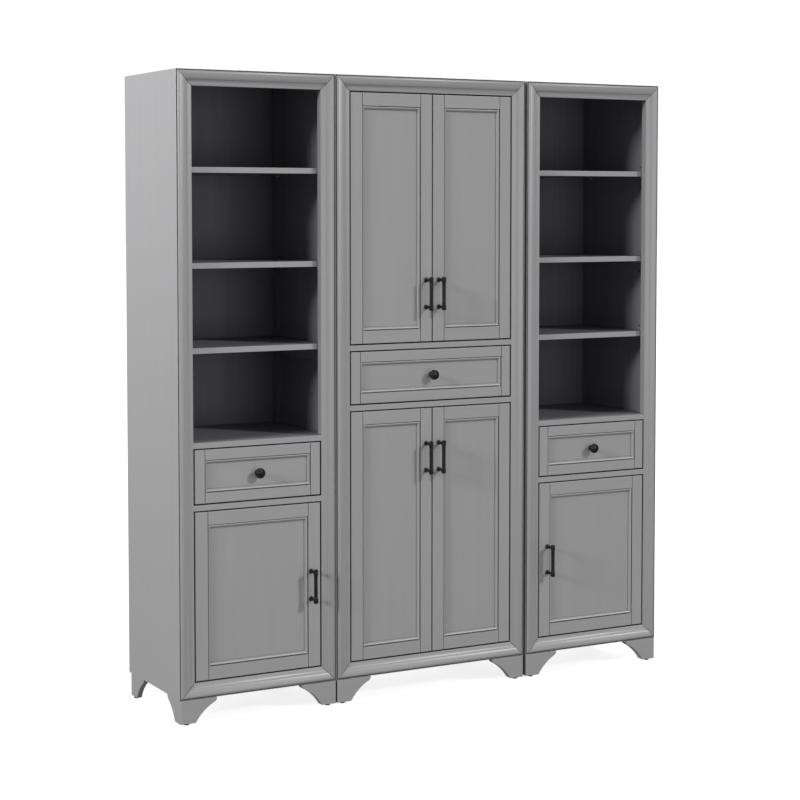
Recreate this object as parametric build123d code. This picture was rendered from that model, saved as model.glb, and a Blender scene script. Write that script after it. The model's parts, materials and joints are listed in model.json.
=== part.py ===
from build123d import *
import math
import os

# A three-piece pantry set: a shelf tower, a pantry cabinet and a second shelf tower, side by side.
# Millimetres. X runs to the right, Y runs from the fronts to the back, Z is up from the floor.
# The origin is under the middle of the whole set's box, on the floor.

# ---------------------------------------------------------------- overall sizes
HEIGHT = 1829.0
DEPTH = 398.0
TOWER_W = 490.0
PANTRY_W = 645.0
LEFT_SEAM = 1.0
RIGHT_SEAM = 8.5
FRAME_FOOT_H = 71.0

# ---------------------------------------------------------------- face frame
FRAME_W = 46.0
FRAME_D = 28.0
LIP_DROP = 6.6
FRAME_EDGE = 1.6
FRAME_EDGE_DROP = 5.5
FRAME_QUIRK_W = 2.0
FRAME_QUIRK_D = 9.0
FRAME_CROWN_X = 14.0
FRAME_COVE_X = 28.0
FRAME_COVE_DROP = 2.0
FRAME_FILLET = 1.3
FRAME_LIP_X = 37.0
MITRE_LINE = 1.2
MITRE_LINE_D = 12.0

# ---------------------------------------------------------------- boards
SIDE_T = 16.0
SIDE_INSET = 1.0
BOARD_T = 16.0
BACK_T = 5.0
BACK_REBATE = 8.0
BATTEN_D = 66.0
PACKER_H = 62.0

# ---------------------------------------------------------------- where the towers and the pantry divide
TOWER_DIVIDER_Z = 601.0
TOWER_DECK_Z = 776.0
PANTRY_LOWER_RAIL_Z = 856.0
PANTRY_UPPER_RAIL_Z = 1031.0

# ---------------------------------------------------------------- loose shelves and their pegs
SHELF_T = 16.0
SHELF_END_GAP = 1.0
SHELF_FRONT_GAP = 1.5
SHELF_BACK_GAP = 2.0
BAY_SHELF_TOPS = (1055.0, 1293.0, 1560.0)
TOWER_CUPBOARD_SHELF_TOP = 366.0
PANTRY_LOWER_SHELF_TOP = 492.0
PANTRY_UPPER_SHELF_TOPS = (1294.0, 1538.0)
CUPBOARD_SHELF_SETBACK = 105.0
PEG_HOLE_R = 2.5
PEG_CLEARANCE = 0.05
PEG_HOLE_DEPTH = 10.0
PEG_REST_R = 3.5
PEG_REST_L = 9.0
PEG_COLLAR_R = 4.5
PEG_COLLAR_T = 1.0
PEG_FLAT = 2.5
PEG_INSET = 45.0
PEG_PITCH = 32.0

# ---------------------------------------------------------------- feet
FOOT_SETBACK = 2.0
FOOT_BASE = 46.0
FOOT_REACH = 111.0
FOOT_CORNER_R = 5.0
FOOT_NOSE_H = 13.0
FOOT_NOSE_W = 8.0
SIDE_FOOT_BASE = 44.0
SIDE_FOOT_REACH = 100.0
BACK_NOTCH = 16.0
BACK_NOTCH_H = 70.0
GLIDE_H = 5.0
GLIDE_R = 7.5
GLIDE_INSET = 24.0

# ---------------------------------------------------------------- doors and drawer fronts
FRONT_T = 20.0
SIDE_GAP = 4.0
END_GAP = 3.5
MEETING_GAP = 3.0
EDGE_CHAMFER = 1.5
DOOR_FACE_W = 38.0
DRAWER_FACE_W = 30.0
STICKING_W = 10.0
QUIRK_W = 1.6
QUIRK_D = 6.0
BEAD_DROP = 2.0
BEAD_EDGE_DROP = 3.2
STICKING_FOOT = 1.2
PANEL_T = 6.0
PANEL_RECESS = 9.0
GROOVE_DEPTH = 6.0
PANEL_PLAY = 1.0

# ---------------------------------------------------------------- cup hinges
CUP_R = 17.5
CUP_DEPTH = 12.0
CUP_WALL = 1.0
CUP_FROM_EDGE = 22.5
CUP_PLATE_L = 60.0
CUP_PLATE_W = 24.0
CUP_PLATE_T = 1.5
PIN_FROM_EDGE = 20.0
PIN_FROM_BACK = 7.0
PIN_R = 1.5
PIN_CLEARANCE = 0.05
BARREL_R = 3.3
ARM_W = 12.0
ARM_T = 2.0
ARM_SWEEP_R = 26.5
ARM_EXIT_ANGLE = 32.0
ARM_PLATE_L = 50.0
ARM_PLATE_H = 44.0
ARM_PLATE_FORWARD = 4.0
HINGE_FROM_END = 90.0

# ---------------------------------------------------------------- handles and knobs
PULL_CENTRES = 80.0
PULL_OVERHANG = 10.0
PULL_STANDOFF = 31.0
PULL_BAR_R = 5.2
PULL_COLLAR_R = 7.5
PULL_BASE_R = 6.8
PULL_BASE_T = 5.0
PULL_NECK_R = 3.8
PULL_COLLAR_L = 6.8
PULL_RING_DROP = 1.4
PULL_EASE = 1.5
TOWER_PULL_INSET = 30.0
PANTRY_PULL_INSET = 20.0
TOWER_PULL_Z = 360.0
PANTRY_LOWER_PULL_Z = 707.5
PANTRY_UPPER_PULL_Z = 1193.0
KNOB_R = 15.0
KNOB_PROJECTION = 28.0
KNOB_BASE_R = 8.0
KNOB_BASE_T = 1.6
KNOB_NECK_R = 5.0
KNOB_RIM_SET = 2.6
KNOB_RIM_W = 1.8
KNOB_RING_DEPTH = 1.4
KNOB_BUTTON_R = 7.5
KNOB_BUTTON_RISE = 1.2

# ---------------------------------------------------------------- drawers and slides
DRAWER_BOARD_T = 12.0
DRAWER_BOTTOM_T = 5.0
DRAWER_GROOVE = 6.0
DRAWER_BOTTOM_UP = 9.0
DRAWER_BOX_H = 108.0
DRAWER_BOX_UP = 17.0
DRAWER_BACK_GAP = 44.4
SLIDE_T = 12.7
SLIDE_H = 45.0
SLIDE_BACK_GAP = 65.0
SLIDE_WALL = 1.2
SLIDE_PLAY = 0.7

# ---------------------------------------------------------------- plates that hold the three units together
PLATE_T = 2.0
PLATE_H = 40.0
PLATE_END = 26.0
PLATE_SCREW_FROM_EDGE = 5.0
PLATE_SCREW_PITCH = 24.0
PLATE_FROM_FLOOR = 240.0
PLATE_FROM_TOP = 129.0
SCREW_R = 2.0
SCREW_HEAD_R = 3.6
SCREW_HEAD_T = 1.6
SCREW_L = 18.0

# ---------------------------------------------------------------- places worked out from the sizes
PULL_PROUD = PULL_STANDOFF + PULL_COLLAR_R - LIP_DROP
KNOB_PROUD = KNOB_PROJECTION - LIP_DROP - PANEL_RECESS
PROUD = max(PULL_PROUD, KNOB_PROUD)
BACK_PROUD = PLATE_T + SCREW_HEAD_T
FRONT_Y = PROUD - (PROUD + DEPTH + BACK_PROUD) / 2
FACE_Y = FRONT_Y + LIP_DROP
FRAME_BACK_Y = FRONT_Y + FRAME_D
BACK_Y = FRONT_Y + DEPTH
BACK_FACE_Y = BACK_Y - BACK_T
FRONT_BACK_Y = FACE_Y + FRONT_T
SLIDE_Y = max(FRAME_BACK_Y, FRONT_BACK_Y)
SLIDE_L = BACK_FACE_Y - SLIDE_Y - SLIDE_BACK_GAP
DRAWER_BOX_L = BACK_FACE_Y - FRONT_BACK_Y - DRAWER_BACK_GAP
PIN_FROM_FACE = FRONT_T - PIN_FROM_BACK
PLATE_LEVELS = (PLATE_FROM_FLOOR, HEIGHT - PLATE_FROM_TOP)

OPENING_Z0 = FRAME_FOOT_H + FRAME_W
OPENING_Z1 = HEIGHT - FRAME_W
INNER = SIDE_INSET + SIDE_T

SET_W = 2 * TOWER_W + PANTRY_W + LEFT_SEAM + RIGHT_SEAM
LEFT_X = -SET_W / 2
PANTRY_X = LEFT_X + TOWER_W + LEFT_SEAM
RIGHT_X = PANTRY_X + PANTRY_W + RIGHT_SEAM

NODES = {}


# ---------------------------------------------------------------- helpers
def block(x0, x1, y0, y1, z0, z1):
    """A box given by its low and high faces."""
    return Pos((x0 + x1) / 2, (y0 + y1) / 2, (z0 + z1) / 2) * Box(x1 - x0, y1 - y0, z1 - z0)


def rod_x(radius, x0, x1, y, z):
    """A round rod along X."""
    return Pos((x0 + x1) / 2, y, z) * Rot(0, 90, 0) * Cylinder(radius, x1 - x0)


def rod_y(radius, x, y0, y1, z):
    """A round rod along Y."""
    return Pos(x, (y0 + y1) / 2, z) * Rot(90, 0, 0) * Cylinder(radius, y1 - y0)


def rod_z(radius, x, y, z0, z1):
    """A round rod along Z."""
    return Pos(x, y, (z0 + z1) / 2) * Cylinder(radius, z1 - z0)


def prism_y(edges, y0, y1):
    """An outline drawn in X and Z, carried from y0 to y1."""
    plane = Plane(origin=(0, y0, 0), x_dir=(1, 0, 0), z_dir=(0, -1, 0))
    return extrude(plane * make_face(edges), amount=y1 - y0, dir=(0, 1, 0))


def prism_x(edges, x0, x1):
    """An outline drawn in Y and Z, carried from x0 to x1."""
    plane = Plane(origin=(x0, 0, 0), x_dir=(0, 1, 0), z_dir=(1, 0, 0))
    return extrude(plane * make_face(edges), amount=x1 - x0, dir=(1, 0, 0))


def prism_z(edges, z0, z1):
    """An outline drawn in X and Y, carried from z0 to z1."""
    plane = Plane(origin=(0, 0, z0))
    return extrude(plane * make_face(edges), amount=z1 - z0, dir=(0, 0, 1))


def add(node, *solids):
    """Put solids into a named node."""
    for shape in solids:
        NODES.setdefault(node, []).extend(shape.solids())


def save():
    """Write one STEP file for each node."""
    os.makedirs("parts", exist_ok=True)
    for node, solids in NODES.items():
        export_step(Compound(children=solids), f"parts/{node}.step")


# ---------------------------------------------------------------- face frame
def frame_profile():
    """Section of the frame moulding: outer edge at x = 0, front plane at y = 0."""
    edge = (FRAME_EDGE, FRAME_EDGE_DROP)
    roll_x = FRAME_EDGE + FRAME_QUIRK_W
    roll = (roll_x, FRAME_EDGE_DROP)
    crown = (FRAME_CROWN_X, 0)
    arris = (FRAME_COVE_X, FRAME_COVE_DROP)
    cove = (FRAME_COVE_X, FRAME_COVE_DROP + FRAME_FILLET)
    lip = (FRAME_LIP_X, LIP_DROP)
    roll_mid = (roll_x + (FRAME_CROWN_X - roll_x) * 0.33, FRAME_EDGE_DROP * 0.27)
    crown_mid = ((FRAME_CROWN_X + FRAME_COVE_X) / 2, FRAME_COVE_DROP * 0.23)
    cove_mid = (FRAME_COVE_X + (FRAME_LIP_X - FRAME_COVE_X) * 0.36, cove[1] + (LIP_DROP - cove[1]) * 0.64)
    return (
        Polyline((0, FRAME_D), (0, FRAME_EDGE_DROP), edge, (FRAME_EDGE, FRAME_QUIRK_D))
        + Polyline((FRAME_EDGE, FRAME_QUIRK_D), (roll_x, FRAME_QUIRK_D), roll)
        + ThreePointArc(roll, roll_mid, crown)
        + ThreePointArc(crown, crown_mid, arris)
        + Line(arris, cove)
        + ThreePointArc(cove, cove_mid, lip)
        + Polyline(lip, (FRAME_W, LIP_DROP), (FRAME_W, FRAME_D), (0, FRAME_D))
    )


def mitre_outline(reach, half, shy):
    """Trapezium of a mitred member whose outer edge is at x = -reach."""
    return Polyline(
        (-reach, shy - half),
        (-reach + FRAME_W, shy - half + FRAME_W),
        (-reach + FRAME_W, half - FRAME_W - shy),
        (-reach, half - shy),
        (-reach, shy - half),
    )


def frame_member(reach, half):
    """One mitred member, upright, its outer edge at x = -reach, with a fine line at each mitre."""
    length = prism_z(Pos(-reach, 0) * frame_profile(), -half, half)
    deep = prism_y(mitre_outline(reach, half, 0), MITRE_LINE_D, FRAME_D)
    shallow = prism_y(mitre_outline(reach, half, MITRE_LINE / 2), 0, MITRE_LINE_D)
    return length & (deep + shallow)


def face_frame(x0, width):
    """Four mitred members round a unit's front."""
    half_w = width / 2
    half_h = (HEIGHT - FRAME_FOOT_H) / 2
    centre = Pos(x0 + half_w, FRONT_Y, FRAME_FOOT_H + half_h)
    stile = frame_member(half_w, half_h)
    rail = frame_member(half_h, half_w)
    return [
        centre * stile,
        centre * Rot(0, 180, 0) * stile,
        centre * Rot(0, 90, 0) * rail,
        centre * Rot(0, -90, 0) * rail,
    ]


# ---------------------------------------------------------------- feet and sides
def bracket_curve(base, reach, low, high):
    """Under-edge of a bracket foot, from its toe out to the nose under the frame."""
    toe = (base, low)
    waist = (base + (reach - base) * 0.40, low + (high - low) * 0.48)
    neck = (reach - FOOT_NOSE_W, high - FOOT_NOSE_H)
    nose = (reach - FOOT_NOSE_W * 0.25, high - FOOT_NOSE_H * 0.62)
    return ThreePointArc(toe, waist, neck) + ThreePointArc(neck, nose, (reach, high))


def front_foot():
    """Front bracket foot, drawn at the left end of a unit whose outer edge is x = 0."""
    outline = (
        Line((0, GLIDE_H), (FOOT_BASE, GLIDE_H))
        + bracket_curve(FOOT_BASE, FOOT_REACH, GLIDE_H, FRAME_FOOT_H)
        + Line((FOOT_REACH, FRAME_FOOT_H), (0, FRAME_FOOT_H))
        + Line((0, FRAME_FOOT_H), (0, GLIDE_H))
    )
    foot = prism_y(outline, FRONT_Y + FOOT_SETBACK, FRAME_BACK_Y)
    corner = foot.edges().filter_by(Axis.Z).sort_by(Axis.X)[:2].sort_by(Axis.Y)[0]
    return Pos(SIDE_INSET, 0, 0) * fillet(corner, FOOT_CORNER_R)


def side_outline():
    """Side board in Y and Z: straight front, arch between two bracket feet, notch for a skirting."""
    toe_y = FRONT_Y
    heel_y = BACK_Y - BACK_NOTCH
    front_curve = Pos(toe_y, 0) * bracket_curve(SIDE_FOOT_BASE, SIDE_FOOT_REACH, GLIDE_H, FRAME_FOOT_H)
    back_curve = Pos(heel_y, 0) * mirror(
        bracket_curve(SIDE_FOOT_BASE, SIDE_FOOT_REACH, GLIDE_H, FRAME_FOOT_H), Plane.YZ
    )
    return (
        Line((FRAME_BACK_Y, GLIDE_H), (toe_y + SIDE_FOOT_BASE, GLIDE_H))
        + front_curve
        + Line((toe_y + SIDE_FOOT_REACH, FRAME_FOOT_H), (heel_y - SIDE_FOOT_REACH, FRAME_FOOT_H))
        + back_curve
        + Polyline(
            (heel_y - SIDE_FOOT_BASE, GLIDE_H),
            (heel_y, GLIDE_H),
            (heel_y, BACK_NOTCH_H),
            (BACK_Y, BACK_NOTCH_H),
            (BACK_Y, HEIGHT),
            (FRAME_BACK_Y, HEIGHT),
            (FRAME_BACK_Y, GLIDE_H),
        )
    )


def peg_rows(front):
    """The two Y places of the pegs under a shelf whose front edge is at front."""
    return (front + PEG_INSET, BACK_FACE_Y - SHELF_BACK_GAP - PEG_INSET)


def side_board(shelves, seams):
    """A side at the left end of a unit, with its rows of peg holes and any plate screw holes."""
    board = prism_x(side_outline(), SIDE_INSET, INNER)
    floor_z = OPENING_Z0 - BOARD_T
    board -= block(INNER - BACK_REBATE, INNER, BACK_FACE_Y, BACK_Y, floor_z, HEIGHT)
    for top, front in shelves:
        for y in peg_rows(front):
            for step in (-1, 0, 1):
                z = top - SHELF_T - PEG_FLAT + step * PEG_PITCH
                board -= rod_x(PEG_HOLE_R, INNER - PEG_HOLE_DEPTH, INNER, y, z)
    if seams:
        for level in PLATE_LEVELS:
            for z in (level - PLATE_SCREW_PITCH / 2, level + PLATE_SCREW_PITCH / 2):
                x = SIDE_INSET + PLATE_SCREW_FROM_EDGE
                board -= rod_y(SCREW_R, x, BACK_Y - SCREW_L, BACK_Y, z)
    return board


def peg(top, y):
    """A shelf peg at the left side of a unit: plug, collar and a flat rest."""
    z = top - SHELF_T - PEG_FLAT
    plug = rod_x(PEG_HOLE_R - PEG_CLEARANCE, INNER - PEG_HOLE_DEPTH + 1, INNER, y, z)
    collar = rod_x(PEG_COLLAR_R, INNER, INNER + PEG_COLLAR_T, y, z)
    rest = rod_x(PEG_REST_R, INNER, INNER + PEG_REST_L, y, z)
    top_z = z + PEG_COLLAR_R
    above = block(INNER, INNER + PEG_REST_L, y - PEG_COLLAR_R, y + PEG_COLLAR_R, z + PEG_FLAT, top_z)
    return plug + ((collar + rest) - above)


def flip(shape, width):
    """The same piece at the right end of a unit of that width."""
    return Pos(width, 0, 0) * mirror(shape, Plane.YZ)


# ---------------------------------------------------------------- boards inside a unit
def fixed_board(width, z):
    """A full-depth board whose front edge comes forward between the stiles, flush with the fronts."""
    body = block(INNER, width - INNER, FRAME_BACK_Y, BACK_FACE_Y, z, z + BOARD_T)
    nose = block(FRAME_W, width - FRAME_W, FACE_Y, FRAME_BACK_Y, z, z + BOARD_T)
    return body + nose


def plain_board(width, z):
    """A full-depth board that stops behind the face frame."""
    return block(INNER, width - INNER, FRAME_BACK_Y, BACK_FACE_Y, z, z + BOARD_T)


def loose_shelf(width, top, front):
    """A shelf that lifts out, resting on four pegs."""
    x0 = INNER + SHELF_END_GAP
    return block(x0, width - x0, front, BACK_FACE_Y - SHELF_BACK_GAP, top - SHELF_T, top)


def back_panel(width):
    """Thin back, let into the rebates of the sides."""
    x0 = INNER - BACK_REBATE
    return block(x0, width - x0, BACK_FACE_Y, BACK_Y, OPENING_Z0 - BOARD_T, HEIGHT)


def hinge_batten(z0, z1):
    """Upright strip that brings the left side out flush with the stile, for the hinges."""
    return block(INNER, FRAME_W, FRAME_BACK_Y, FRAME_BACK_Y + BATTEN_D, z0, z1)


def slide_packer(z0):
    """Level strip that brings the left side out flush with the stile, for a drawer slide."""
    low = slide_level(z0) - PACKER_H / 2
    return block(INNER, FRAME_W, FRAME_BACK_Y, SLIDE_Y + SLIDE_L, low, low + PACKER_H)


# ---------------------------------------------------------------- framed fronts
def stile_profile(face_w):
    """Section of a door member: outer edge at x = 0, face at y = 0, panel groove in the inner edge."""
    inner = face_w + STICKING_W
    quirk_x = face_w + QUIRK_W
    bead_w = STICKING_W - QUIRK_W
    foot = (inner, PANEL_RECESS - STICKING_FOOT)
    edge = (quirk_x, BEAD_EDGE_DROP)
    crown = (quirk_x + bead_w * 0.30, BEAD_DROP)
    shoulder = (quirk_x + bead_w * 0.12, BEAD_DROP + (BEAD_EDGE_DROP - BEAD_DROP) * 0.30)
    flank = (quirk_x + bead_w * 0.72, BEAD_DROP + (foot[1] - BEAD_DROP) * 0.36)
    return (
        Polyline((0, FRONT_T), (0, 0), (face_w, 0), (face_w, QUIRK_D), (quirk_x, QUIRK_D), edge)
        + ThreePointArc(edge, shoulder, crown)
        + ThreePointArc(crown, flank, foot)
        + Polyline(
            foot,
            (inner, PANEL_RECESS),
            (inner - GROOVE_DEPTH, PANEL_RECESS),
            (inner - GROOVE_DEPTH, PANEL_RECESS + PANEL_T),
            (inner, PANEL_RECESS + PANEL_T),
            (inner, FRONT_T),
            (0, FRONT_T),
        )
    )


def blank(width, height):
    """Outer form of a front, its face edges eased."""
    slab = block(0, width, 0, FRONT_T, 0, height)
    return chamfer(slab.faces().sort_by(Axis.Y)[0].edges(), EDGE_CHAMFER)


def framed_front(width, height, face_w):
    """Two stiles that run through, two rails coped to them, and the flat panel they hold."""
    form = blank(width, height)
    left = prism_z(stile_profile(face_w), 0, height)
    right = Pos(width, 0, 0) * mirror(left, Plane.YZ)
    rail_x0 = face_w + QUIRK_W
    rail_section = mirror(stile_profile(face_w), Plane.YZ)
    bottom = Rot(0, 90, 0) * prism_z(rail_section, rail_x0, width - rail_x0)
    top = Pos(0, 0, height) * mirror(bottom, Plane.XY)
    members = [left & form, right & form]
    for rail in (bottom, top):
        coped = ((rail & form) - left) - right
        # the cope cuts a crumb of bead loose at each end; only the rail itself is kept
        members.append(coped.solids().sort_by(SortBy.VOLUME)[-1])
    groove = face_w + STICKING_W - GROOVE_DEPTH + PANEL_PLAY
    panel = block(groove, width - groove, PANEL_RECESS, PANEL_RECESS + PANEL_T, groove, height - groove)
    return members, panel


# ---------------------------------------------------------------- hinges
def hinge_cup(z):
    """Cup, fixing plate and pin of a hinge at the left edge of a door, in the door's own frame."""
    x = CUP_FROM_EDGE
    floor_y = FRONT_T - CUP_DEPTH
    plate_y = FRONT_T + CUP_PLATE_T
    cup = rod_y(CUP_R, x, floor_y, FRONT_T, z)
    plate = block(
        x - CUP_PLATE_W / 2, x + CUP_PLATE_W / 2, FRONT_T, plate_y, z - CUP_PLATE_L / 2, z + CUP_PLATE_L / 2
    )
    rim = rod_y(CUP_R, x, FRONT_T, plate_y, z)
    hollow = rod_y(CUP_R - CUP_WALL, x, floor_y + CUP_WALL, plate_y, z)
    pin = rod_z(PIN_R, PIN_FROM_EDGE, PIN_FROM_FACE, z - CUP_R, z + CUP_R)
    inside = rod_y(CUP_R - CUP_WALL / 2, x, floor_y, plate_y, z)
    return (cup + plate + rim - hollow) + (pin & inside)


def cup_bore(z):
    """The bore in the back of a door that takes a hinge cup."""
    return rod_y(CUP_R, CUP_FROM_EDGE, FRONT_T - CUP_DEPTH, FRONT_T, z)


def hinge_arm(z):
    """Fixed arm of a hinge: barrel on the pin, a bow round the door's edge and a plate on the batten."""
    exit_a = math.radians(ARM_EXIT_ANGLE)
    pin = Vector(PIN_FROM_EDGE, PIN_FROM_FACE)
    out = Vector(math.cos(exit_a), math.sin(exit_a))
    across = Vector(-out.Y, out.X)
    outer = ARM_SWEEP_R + ARM_T / 2
    inner = ARM_SWEEP_R - ARM_T / 2
    middle_a = (exit_a + math.pi / 2) / 2
    middle = Vector(math.cos(middle_a), math.sin(middle_a))
    wall_x = -SIDE_GAP
    start_low = pin + out * (BARREL_R * 0.8) - across * (ARM_T / 2)
    start_high = pin + out * (BARREL_R * 0.8) + across * (ARM_T / 2)
    shaft_low = pin + out * outer - across * (ARM_T / 2)
    bow_start = pin + out * outer
    strip = (
        Line(start_low, shaft_low)
        + Line(shaft_low, bow_start)
        + ThreePointArc(bow_start, pin + middle * outer, pin + Vector(0, outer))
        + Polyline(
            pin + Vector(0, outer),
            Vector(wall_x, PIN_FROM_FACE + outer),
            Vector(wall_x, PIN_FROM_FACE + inner),
            pin + Vector(0, inner),
        )
    )
    back_a = exit_a + math.asin(ARM_T / 2 / inner)
    back_mid_a = (back_a + math.pi / 2) / 2
    bow_in_end = pin + Vector(math.cos(back_a), math.sin(back_a)) * inner
    strip += ThreePointArc(
        pin + Vector(0, inner), pin + Vector(math.cos(back_mid_a), math.sin(back_mid_a)) * inner, bow_in_end
    )
    strip += Line(bow_in_end, start_high) + Line(start_high, start_low)
    arm = prism_z(strip, z - ARM_W / 2, z + ARM_W / 2)
    arm += rod_z(BARREL_R, PIN_FROM_EDGE, PIN_FROM_FACE, z - ARM_W / 2, z + ARM_W / 2)
    arm -= rod_z(PIN_R + PIN_CLEARANCE, PIN_FROM_EDGE, PIN_FROM_FACE, z - ARM_W, z + ARM_W)
    plate_y = PIN_FROM_FACE + inner - ARM_PLATE_FORWARD
    z0 = z - ARM_PLATE_H / 2
    arm += block(wall_x, wall_x + ARM_T, plate_y, plate_y + ARM_PLATE_L, z0, z0 + ARM_PLATE_H)
    return arm


# ---------------------------------------------------------------- handle and knob
def pull_handle():
    """Upright bar pull on two posts, its middle at the origin and the door's face at y = 0."""
    half = PULL_CENTRES / 2
    tip = half + PULL_OVERHANG
    ring_r = PULL_COLLAR_R - PULL_RING_DROP
    collar = PULL_COLLAR_L / 2
    taper = PULL_COLLAR_R - PULL_BAR_R
    upper = [
        (PULL_BAR_R, half - collar - 2 * taper),
        (PULL_COLLAR_R, half - collar - taper),
        (PULL_COLLAR_R, half - collar),
        (ring_r, half - collar + PULL_RING_DROP / 2),
        (ring_r, half + collar - PULL_RING_DROP / 2),
        (PULL_COLLAR_R, half + collar),
        (PULL_COLLAR_R, tip - PULL_EASE),
        (PULL_COLLAR_R - PULL_EASE, tip),
        (0, tip),
    ]
    lower = [(x, -z) for x, z in reversed(upper)]
    outline = Polyline(*lower, *upper, lower[0])
    bar = Pos(0, -PULL_STANDOFF, 0) * revolve(Plane.XZ * make_face(outline), Axis.Z)
    for z in (-half, half):
        bar += Pos(0, 0, z) * pull_post()
    return bar


def pull_post():
    """One post of a pull: a stepped base on the door and a slim neck to the bar."""
    base_top = -PULL_BASE_T
    outline = Polyline(
        (0, 0),
        (PULL_BASE_R, 0),
        (PULL_BASE_R, base_top + PULL_EASE),
        (PULL_BASE_R - PULL_EASE, base_top),
        (PULL_NECK_R + PULL_EASE / 2, base_top),
        (PULL_NECK_R, base_top - PULL_EASE),
        (PULL_NECK_R, -PULL_STANDOFF),
        (0, -PULL_STANDOFF),
        (0, 0),
    )
    return revolve(make_face(outline), Axis.Y)


def knob():
    """Mushroom knob with a ringed face, its base on the front at y = 0."""
    tip = -KNOB_PROJECTION
    rim_y = tip + KNOB_RIM_SET
    button_y = tip + KNOB_BUTTON_RISE
    dome_r = (KNOB_BUTTON_R**2 + KNOB_BUTTON_RISE**2) / (2 * KNOB_BUTTON_RISE)
    dome_mid = (KNOB_BUTTON_R / 2, tip + dome_r - math.sqrt(dome_r**2 - KNOB_BUTTON_R**2 / 4))
    neck = (KNOB_NECK_R, tip * 0.32)
    widest = (KNOB_R, tip * 0.75)
    rim = (KNOB_R - KNOB_RIM_SET, rim_y)
    outline = Polyline((0, 0), (KNOB_BASE_R, 0), (KNOB_BASE_R, -KNOB_BASE_T), neck)
    outline += ThreePointArc(neck, (KNOB_R * 0.74, tip * 0.5), widest)
    outline += ThreePointArc(widest, (KNOB_R - KNOB_RIM_SET * 0.27, tip * 0.85), rim)
    outline += Polyline(
        rim,
        (rim[0] - KNOB_RIM_W, rim_y),
        (rim[0] - KNOB_RIM_W, rim_y + KNOB_RING_DEPTH),
        (KNOB_BUTTON_R, rim_y + KNOB_RING_DEPTH),
        (KNOB_BUTTON_R, button_y),
    )
    outline += ThreePointArc((KNOB_BUTTON_R, button_y), dome_mid, (0, tip))
    outline += Line((0, tip), (0, 0))
    return revolve(make_face(outline), Axis.Y)


# ---------------------------------------------------------------- drawers
def slide_level(front_z0):
    """Height of a slide's middle, for a drawer front that starts at front_z0."""
    return front_z0 + DRAWER_BOX_UP + DRAWER_BOX_H / 2


def channel(x_web, x_tip, half_h, y0, y1, z, wall):
    """A C-shaped rail along Y, its web at x_web and its lips reaching x_tip."""
    lo = min(x_web, x_tip)
    hi = max(x_web, x_tip)
    body = block(lo, hi, y0, y1, z - half_h, z + half_h)
    if x_web < x_tip:
        return body - block(lo + wall, hi, y0, y1, z - half_h + wall, z + half_h - wall)
    return body - block(lo, hi - wall, y0, y1, z - half_h + wall, z + half_h - wall)


def slide_rails(x, y0, z):
    """Outer, middle and inner rails of a slide at the left of a drawer, from the fixed face x."""
    y1 = y0 + SLIDE_L
    outer_half = SLIDE_H / 2
    middle_half = outer_half - SLIDE_WALL - SLIDE_PLAY
    inner_half = middle_half - SLIDE_WALL - SLIDE_PLAY
    middle_x = x + SLIDE_WALL + SLIDE_PLAY
    inner_tip = middle_x + SLIDE_WALL + SLIDE_PLAY
    lip_x = x + SLIDE_T - SLIDE_WALL - SLIDE_PLAY
    outer = channel(x, lip_x, outer_half, y0, y1, z, SLIDE_WALL)
    middle = channel(middle_x, lip_x, middle_half, y0, y1, z, SLIDE_WALL)
    inner = channel(x + SLIDE_T, inner_tip, inner_half, y0, y1, z, SLIDE_WALL)
    return outer, middle, inner


def drawer_box(x0, x1, y0, z0):
    """Five boards of a drawer box: sides, sub-front, back and a bottom let into grooves."""
    y1 = y0 + DRAWER_BOX_L
    z1 = z0 + DRAWER_BOX_H
    t = DRAWER_BOARD_T
    bottom_z = z0 + DRAWER_BOTTOM_UP
    bottom = block(
        x0 + t - DRAWER_GROOVE,
        x1 - t + DRAWER_GROOVE,
        y0 + t - DRAWER_GROOVE,
        y1,
        bottom_z,
        bottom_z + DRAWER_BOTTOM_T,
    )
    left = block(x0, x0 + t, y0, y1, z0, z1) - bottom
    right = block(x1 - t, x1, y0, y1, z0, z1) - bottom
    front = block(x0 + t, x1 - t, y0, y0 + t, z0, z1) - bottom
    back = block(x0 + t, x1 - t, y1 - t, y1, bottom_z + DRAWER_BOTTOM_T, z1)
    return [left, right, front, back, bottom]


# ---------------------------------------------------------------- units
def add_carcass(unit, x0, width, boards, shelves, seams):
    """Face frame, sides, boards, back, feet, shelves and pegs of one unit."""
    place = Pos(x0, 0, 0)
    left_seam, right_seam = seams
    add(f"{unit}_face_frame", *face_frame(x0, width))
    add(f"{unit}_sides", place * side_board(shelves, left_seam))
    add(f"{unit}_sides", place * flip(side_board(shelves, right_seam), width))
    add(f"{unit}_fixed_boards", place * plain_board(width, OPENING_Z0 - BOARD_T))
    add(f"{unit}_fixed_boards", place * plain_board(width, HEIGHT - BOARD_T))
    for z in boards:
        add(f"{unit}_fixed_boards", place * fixed_board(width, z))
    for top, front in shelves:
        add(f"{unit}_loose_shelves", place * loose_shelf(width, top, front))
        for y in peg_rows(front):
            add("shelf_pegs", place * peg(top, y), place * flip(peg(top, y), width))
    add("back_panels", place * back_panel(width))
    foot = front_foot()
    add("front_feet", place * foot, place * flip(foot, width))
    side_x = SIDE_INSET + SIDE_T / 2
    foot_y = (FRONT_Y + FOOT_SETBACK + FRAME_BACK_Y) / 2
    heel_y = BACK_Y - BACK_NOTCH - SIDE_FOOT_BASE / 2
    for x, y in ((GLIDE_INSET, foot_y), (side_x, heel_y)):
        add("glides", place * rod_z(GLIDE_R, x, y, 0, GLIDE_H))
        add("glides", place * rod_z(GLIDE_R, width - x, y, 0, GLIDE_H))


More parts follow.
